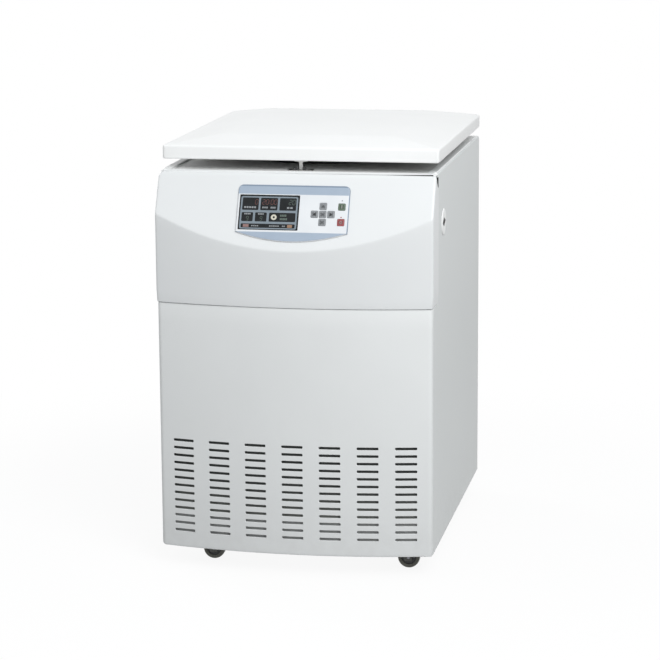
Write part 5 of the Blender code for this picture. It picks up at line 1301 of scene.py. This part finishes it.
# Lid hardware
def lid_parts():
    """Liner sheet with a pressed ring; the striker, a neck that widens into its loop; its slot's trim."""
    low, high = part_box("lid_liner")
    sheet = slab(rectangle(low.x, high.x, low.y, high.y, 0.011, 6), edged(low.z, high.z, 0.0, 0.0004))
    ring_in, ring_out, ring_top, ring_low = 0.166, 0.178, low.z + 0.0002, low.z - 0.0012
    ring = rounded([(ring_in, ring_top), (ring_in, ring_low), (ring_out, ring_low), (ring_out, ring_top)],
                   [0.0001, 0.0012, 0.0012, 0.0001], 5)
    make("lid_liner_sheet", sheet + [turned(ring, steps=128)], [LINER], "lid_liner", "lid")

    low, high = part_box("lid_striker")
    half, top, bar, neck, head = high.x, high.z, low.z, 0.0042, 0.015
    right = [(half, bar), (half, 0.8865), (neck, 0.8915), (neck, top - 0.0042), (head, top - 0.0030),
             (head, top)]
    radii = [0.004, 0.004, 0.003, 0.002, 0.0006, 0.0006]
    outline = rounded(both_sides(right), radii + radii[::-1])
    window = rectangle(-half + 0.006, half - 0.006, bar + 0.006, 0.8818, 0.0025)
    levels = edged(-high.y, -low.y, 0.0009, 0.0009)
    make("striker_loop", slab(outline, levels, FRONT_SIDE, [window]), [BRUSHED], "lid_striker",
         "lid")

    trim = slab(block(0.0, STRIKER_Y, 0.028, 0.0145, 0.006),
                edged(DECK_TOP_Z + 0.0001, DECK_TOP_Z + 0.0014, 0.0008), LEVEL,
                [block(0.0, STRIKER_Y, 0.0195, 0.0070, 0.003)])
    for x in (-0.0095, 0.0095):
        trim += slab(block(x, STRIKER_Y - 0.01075, 0.0038, 0.00275, 0.0012),
                     edged(DECK_TOP_Z + 0.0012, DECK_TOP_Z + 0.0078, 0.0010), finish=1)
    make("striker_slot_trim", trim, [BRUSHED, BLACK])


def springs():
    """Torsion springs: a straight leg, a helix round the hinge pin, a straight leg, as one round wire."""
    axis_y, axis_z, radius, wire, turns, leg_rows = 0.38625, 0.9075, 0.0053, 0.0016, 6, 8
    angle = pi - np.linspace(0.0, 2 * pi * turns, turns * 36 + 1)
    out = np.column_stack([0 * angle, np.cos(angle), np.sin(angle)])
    normal = np.pad(out, ((leg_rows, leg_rows), (0, 0)), "edge")
    rise = np.linspace(0.0, 1.0, leg_rows + 1)[:-1, None]
    for name in ("left", "right"):
        node = "torsion_spring_" + name
        low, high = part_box(node)
        start, stop = low.x + wire / 2, high.x - wire / 2
        if name == "right":
            start, stop = stop, start
        x = np.linspace(start, stop, len(angle))
        coil = np.column_stack([x, axis_y + radius * np.cos(angle), axis_z + radius * np.sin(angle)])
        foot = np.array((start, axis_y - radius, low.z + wire / 4))
        head = np.array((stop, axis_y - radius, high.z))
        path = np.concatenate([foot + rise * (coil[0] - foot), coil, (head + rise * (coil[-1] - head))[::-1]])
        make("wound_spring_" + name, [tube(path, normal, wire / 2, 10)], [SPRING], node,
             crease=60.0)


# Rear fittings
def gland():
    """Cable gland of turned rows with a hexagon collar, radius r / cos(angle mod 60 - 30)."""
    angle = around(96)
    hexagon = 1 / np.cos(np.mod(angle, pi / 3) - pi / 6)
    radius, out, flat = upright_columns([
        (0.0070, -0.0178, 0), (0.0128, -0.0178, 0), (0.0128, 0.0002, 0), (0.0150, 0.0003, 1),
        (0.0156, 0.0009, 1), (0.0156, 0.0070, 1), (0.0148, 0.0078, 1), (0.0126, 0.0080, 0),
        (0.0122, 0.0086, 0), (0.0130, 0.0092, 0), (0.0130, 0.0122, 0), (0.0122, 0.0138, 0),
        (0.0100, 0.0156, 0), (0.0086, 0.0160, 0), (0.0072, 0.0157, 0), (0.0070, 0.0150, 0)])
    size = radius * (1 + flat * (hexagon - 1))
    points = spun(size, out, (SWITCH.x, REAR_Y, GLAND_Z), REARWARD)
    make("hexagon_gland", [patch(points, True, True)], [BLACK], "cable_gland", crease=28.0)


def switch_trim():
    """Frame round the rocker, and a bar and a ring on its two faces, which lean to both sides of its tilt."""
    outline = block(-SWITCH.x, SWITCH.z, 0.0140, 0.0190, 0.002)
    window = block(-SWITCH.x, SWITCH.z, 0.0106, 0.0146, 0.0008, 3)
    levels = edged(REAR_Y + 0.0001, REAR_Y + 0.0026, 0.0010)
    make("switch_frame", slab(outline, levels, REAR_SIDE, [window]), [BLACK])
    tilt, face_lean, face_y, face_z = radians(-8.0), np.arctan(0.002 / 0.013), 0.00415, 0.0075
    pivot = np.array((SWITCH.x, REAR_Y - SHEET / 2, SWITCH.z))
    bar = (1.0, block(0.0, 0.0, 0.0005, 0.0026, 0.0002, 2), ())
    ring = (-1.0, circle(0.0, 0.0, 0.0026, 32), [circle(0.0, 0.0, 0.0018, 32)])
    marks = []
    for half, shape, holes in (bar, ring):
        lean, up_z = half * face_lean - tilt, half * face_z
        up, out = np.array((0.0, sin(lean), cos(lean))), np.array((0.0, cos(lean), -sin(lean)))
        spot = pivot + (0.0, face_y * cos(tilt) - up_z * sin(tilt), face_y * sin(tilt) + up_z * cos(tilt))
        marks += slab(shape, edged(-0.0004, 0.00012), (spot, -X, up, out), holes)
    make("switch_marks", marks, [PALE], body="mains_switch")


def rear_screws():
    """Dome screws along the rear sheet's edges: one turned head moved to every spot."""
    side, low, high = 0.296, 0.068, 0.872
    x = np.array([side] * 6 + [-side] * 6 + [-0.15, 0.0, 0.15] * 2)
    z = np.concatenate([np.tile(np.linspace(low, high, 6), 2), np.repeat([low, high], 3)])
    head = rounded([(0.0, 0.0001), (0.0048, 0.0001), (0.0046, 0.0012), (0.0030, 0.0024), (0.0021, 0.0026),
                    (0.0019, 0.0012), (0.0, 0.0010)],
                   [0.0, 0.0002, 0.0006, 0.0006, 0.0003, 0.0002, 0.0], 2, False)
    radius, height = upright_columns(head)
    dome = spun(np.repeat(radius, 18, 1), height, ORIGIN, REARWARD)
    spots = np.stack([x, np.full(len(x), REAR_Y), z], -1)[:, None, None]
    make("rear_screws", [patch(dome + spots, wrap_columns=True)], [BRUSHED], crease=30.0)


# Cooling unit
def compressor():
    """Hermetic can turned from a rounded outline, with a weld ridge round its waist and a foot flange."""
    low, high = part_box("compressor")
    centre = middle("compressor")
    tall, flange, can_radius, ridge = high.z - low.z, 0.090, 0.080, 0.0830
    can = rounded([(0.0, 0.0), (flange, 0.0), (flange, 0.010), (can_radius, 0.010), (can_radius, 0.098),
                   (ridge, 0.100), (ridge, 0.105), (can_radius, 0.107), (can_radius, tall - 0.045),
                   (0.066, tall - 0.010), (0.038, tall), (0.0, tall)],
                  [0.0, 0.002, 0.002, 0.004, 0.001, 0.001, 0.001, 0.001, 0.028, 0.025, 0.030, 0.0], 7, False)
    make("welded_compressor", [turned(can, (centre.x, centre.y, low.z), 80, False)], [DARK],
         "compressor", crease=45.0)


set_camera((1.0776, -5.6052, 1.6245), radians(-10.797), radians(11.365), radians(-0.389), 2459.5 / 660.0)
studio()
lamp("front_softbox", (2.11, -3.13, 3.88), 0.6, 2.8, 118.0)
lamp("low_softbox", (2.35, -4.07, 2.31), 0.6, 2.0, 62.0)
lamp("rear_softbox", (-4.00, 3.00, 2.00), 0.5, 2.2, 85.0)
for build in (lid_cover, upper_cover, lower_cover, base_lip, vent_filter, seam_backing, side_sheets,
              corner_seals, rear_sheet, deck_sheet, control_overlay, key_caps, display, release_plate,
              casters, chamber, drive, rotor_nut, buckets, lid_parts, springs, gland, switch_trim,
              rear_screws, compressor):
    build()
for node, finish, width in (("rotor_yoke", ALLOY, 0.0012), ("latch_hook", LATCH, 0.0005),
                            ("lock_motor", BLACK, 0.0012), ("hinge_bracket_left", ZINC, 0.0005),
                            ("hinge_bracket_right", ZINC, 0.0005), ("lid_hinge_left", ZINC, 0.0005),
                            ("lid_hinge_right", ZINC, 0.0005), ("mains_switch", BLACK, 0.0008),
                            ("inverter_box", DARK, 0.0030), ("base_plate", ZINC, 0.0010),
                            ("chassis_plate", ZINC, 0.0010), ("fan_bracket", ZINC, 0.0006),
                            ("fan_rotor", BLACK, 0.0006), ("guard_ring", ZINC, 0.0010),
                            ("condenser", FINS, 0.0010)):
    eased(node, finish, width)
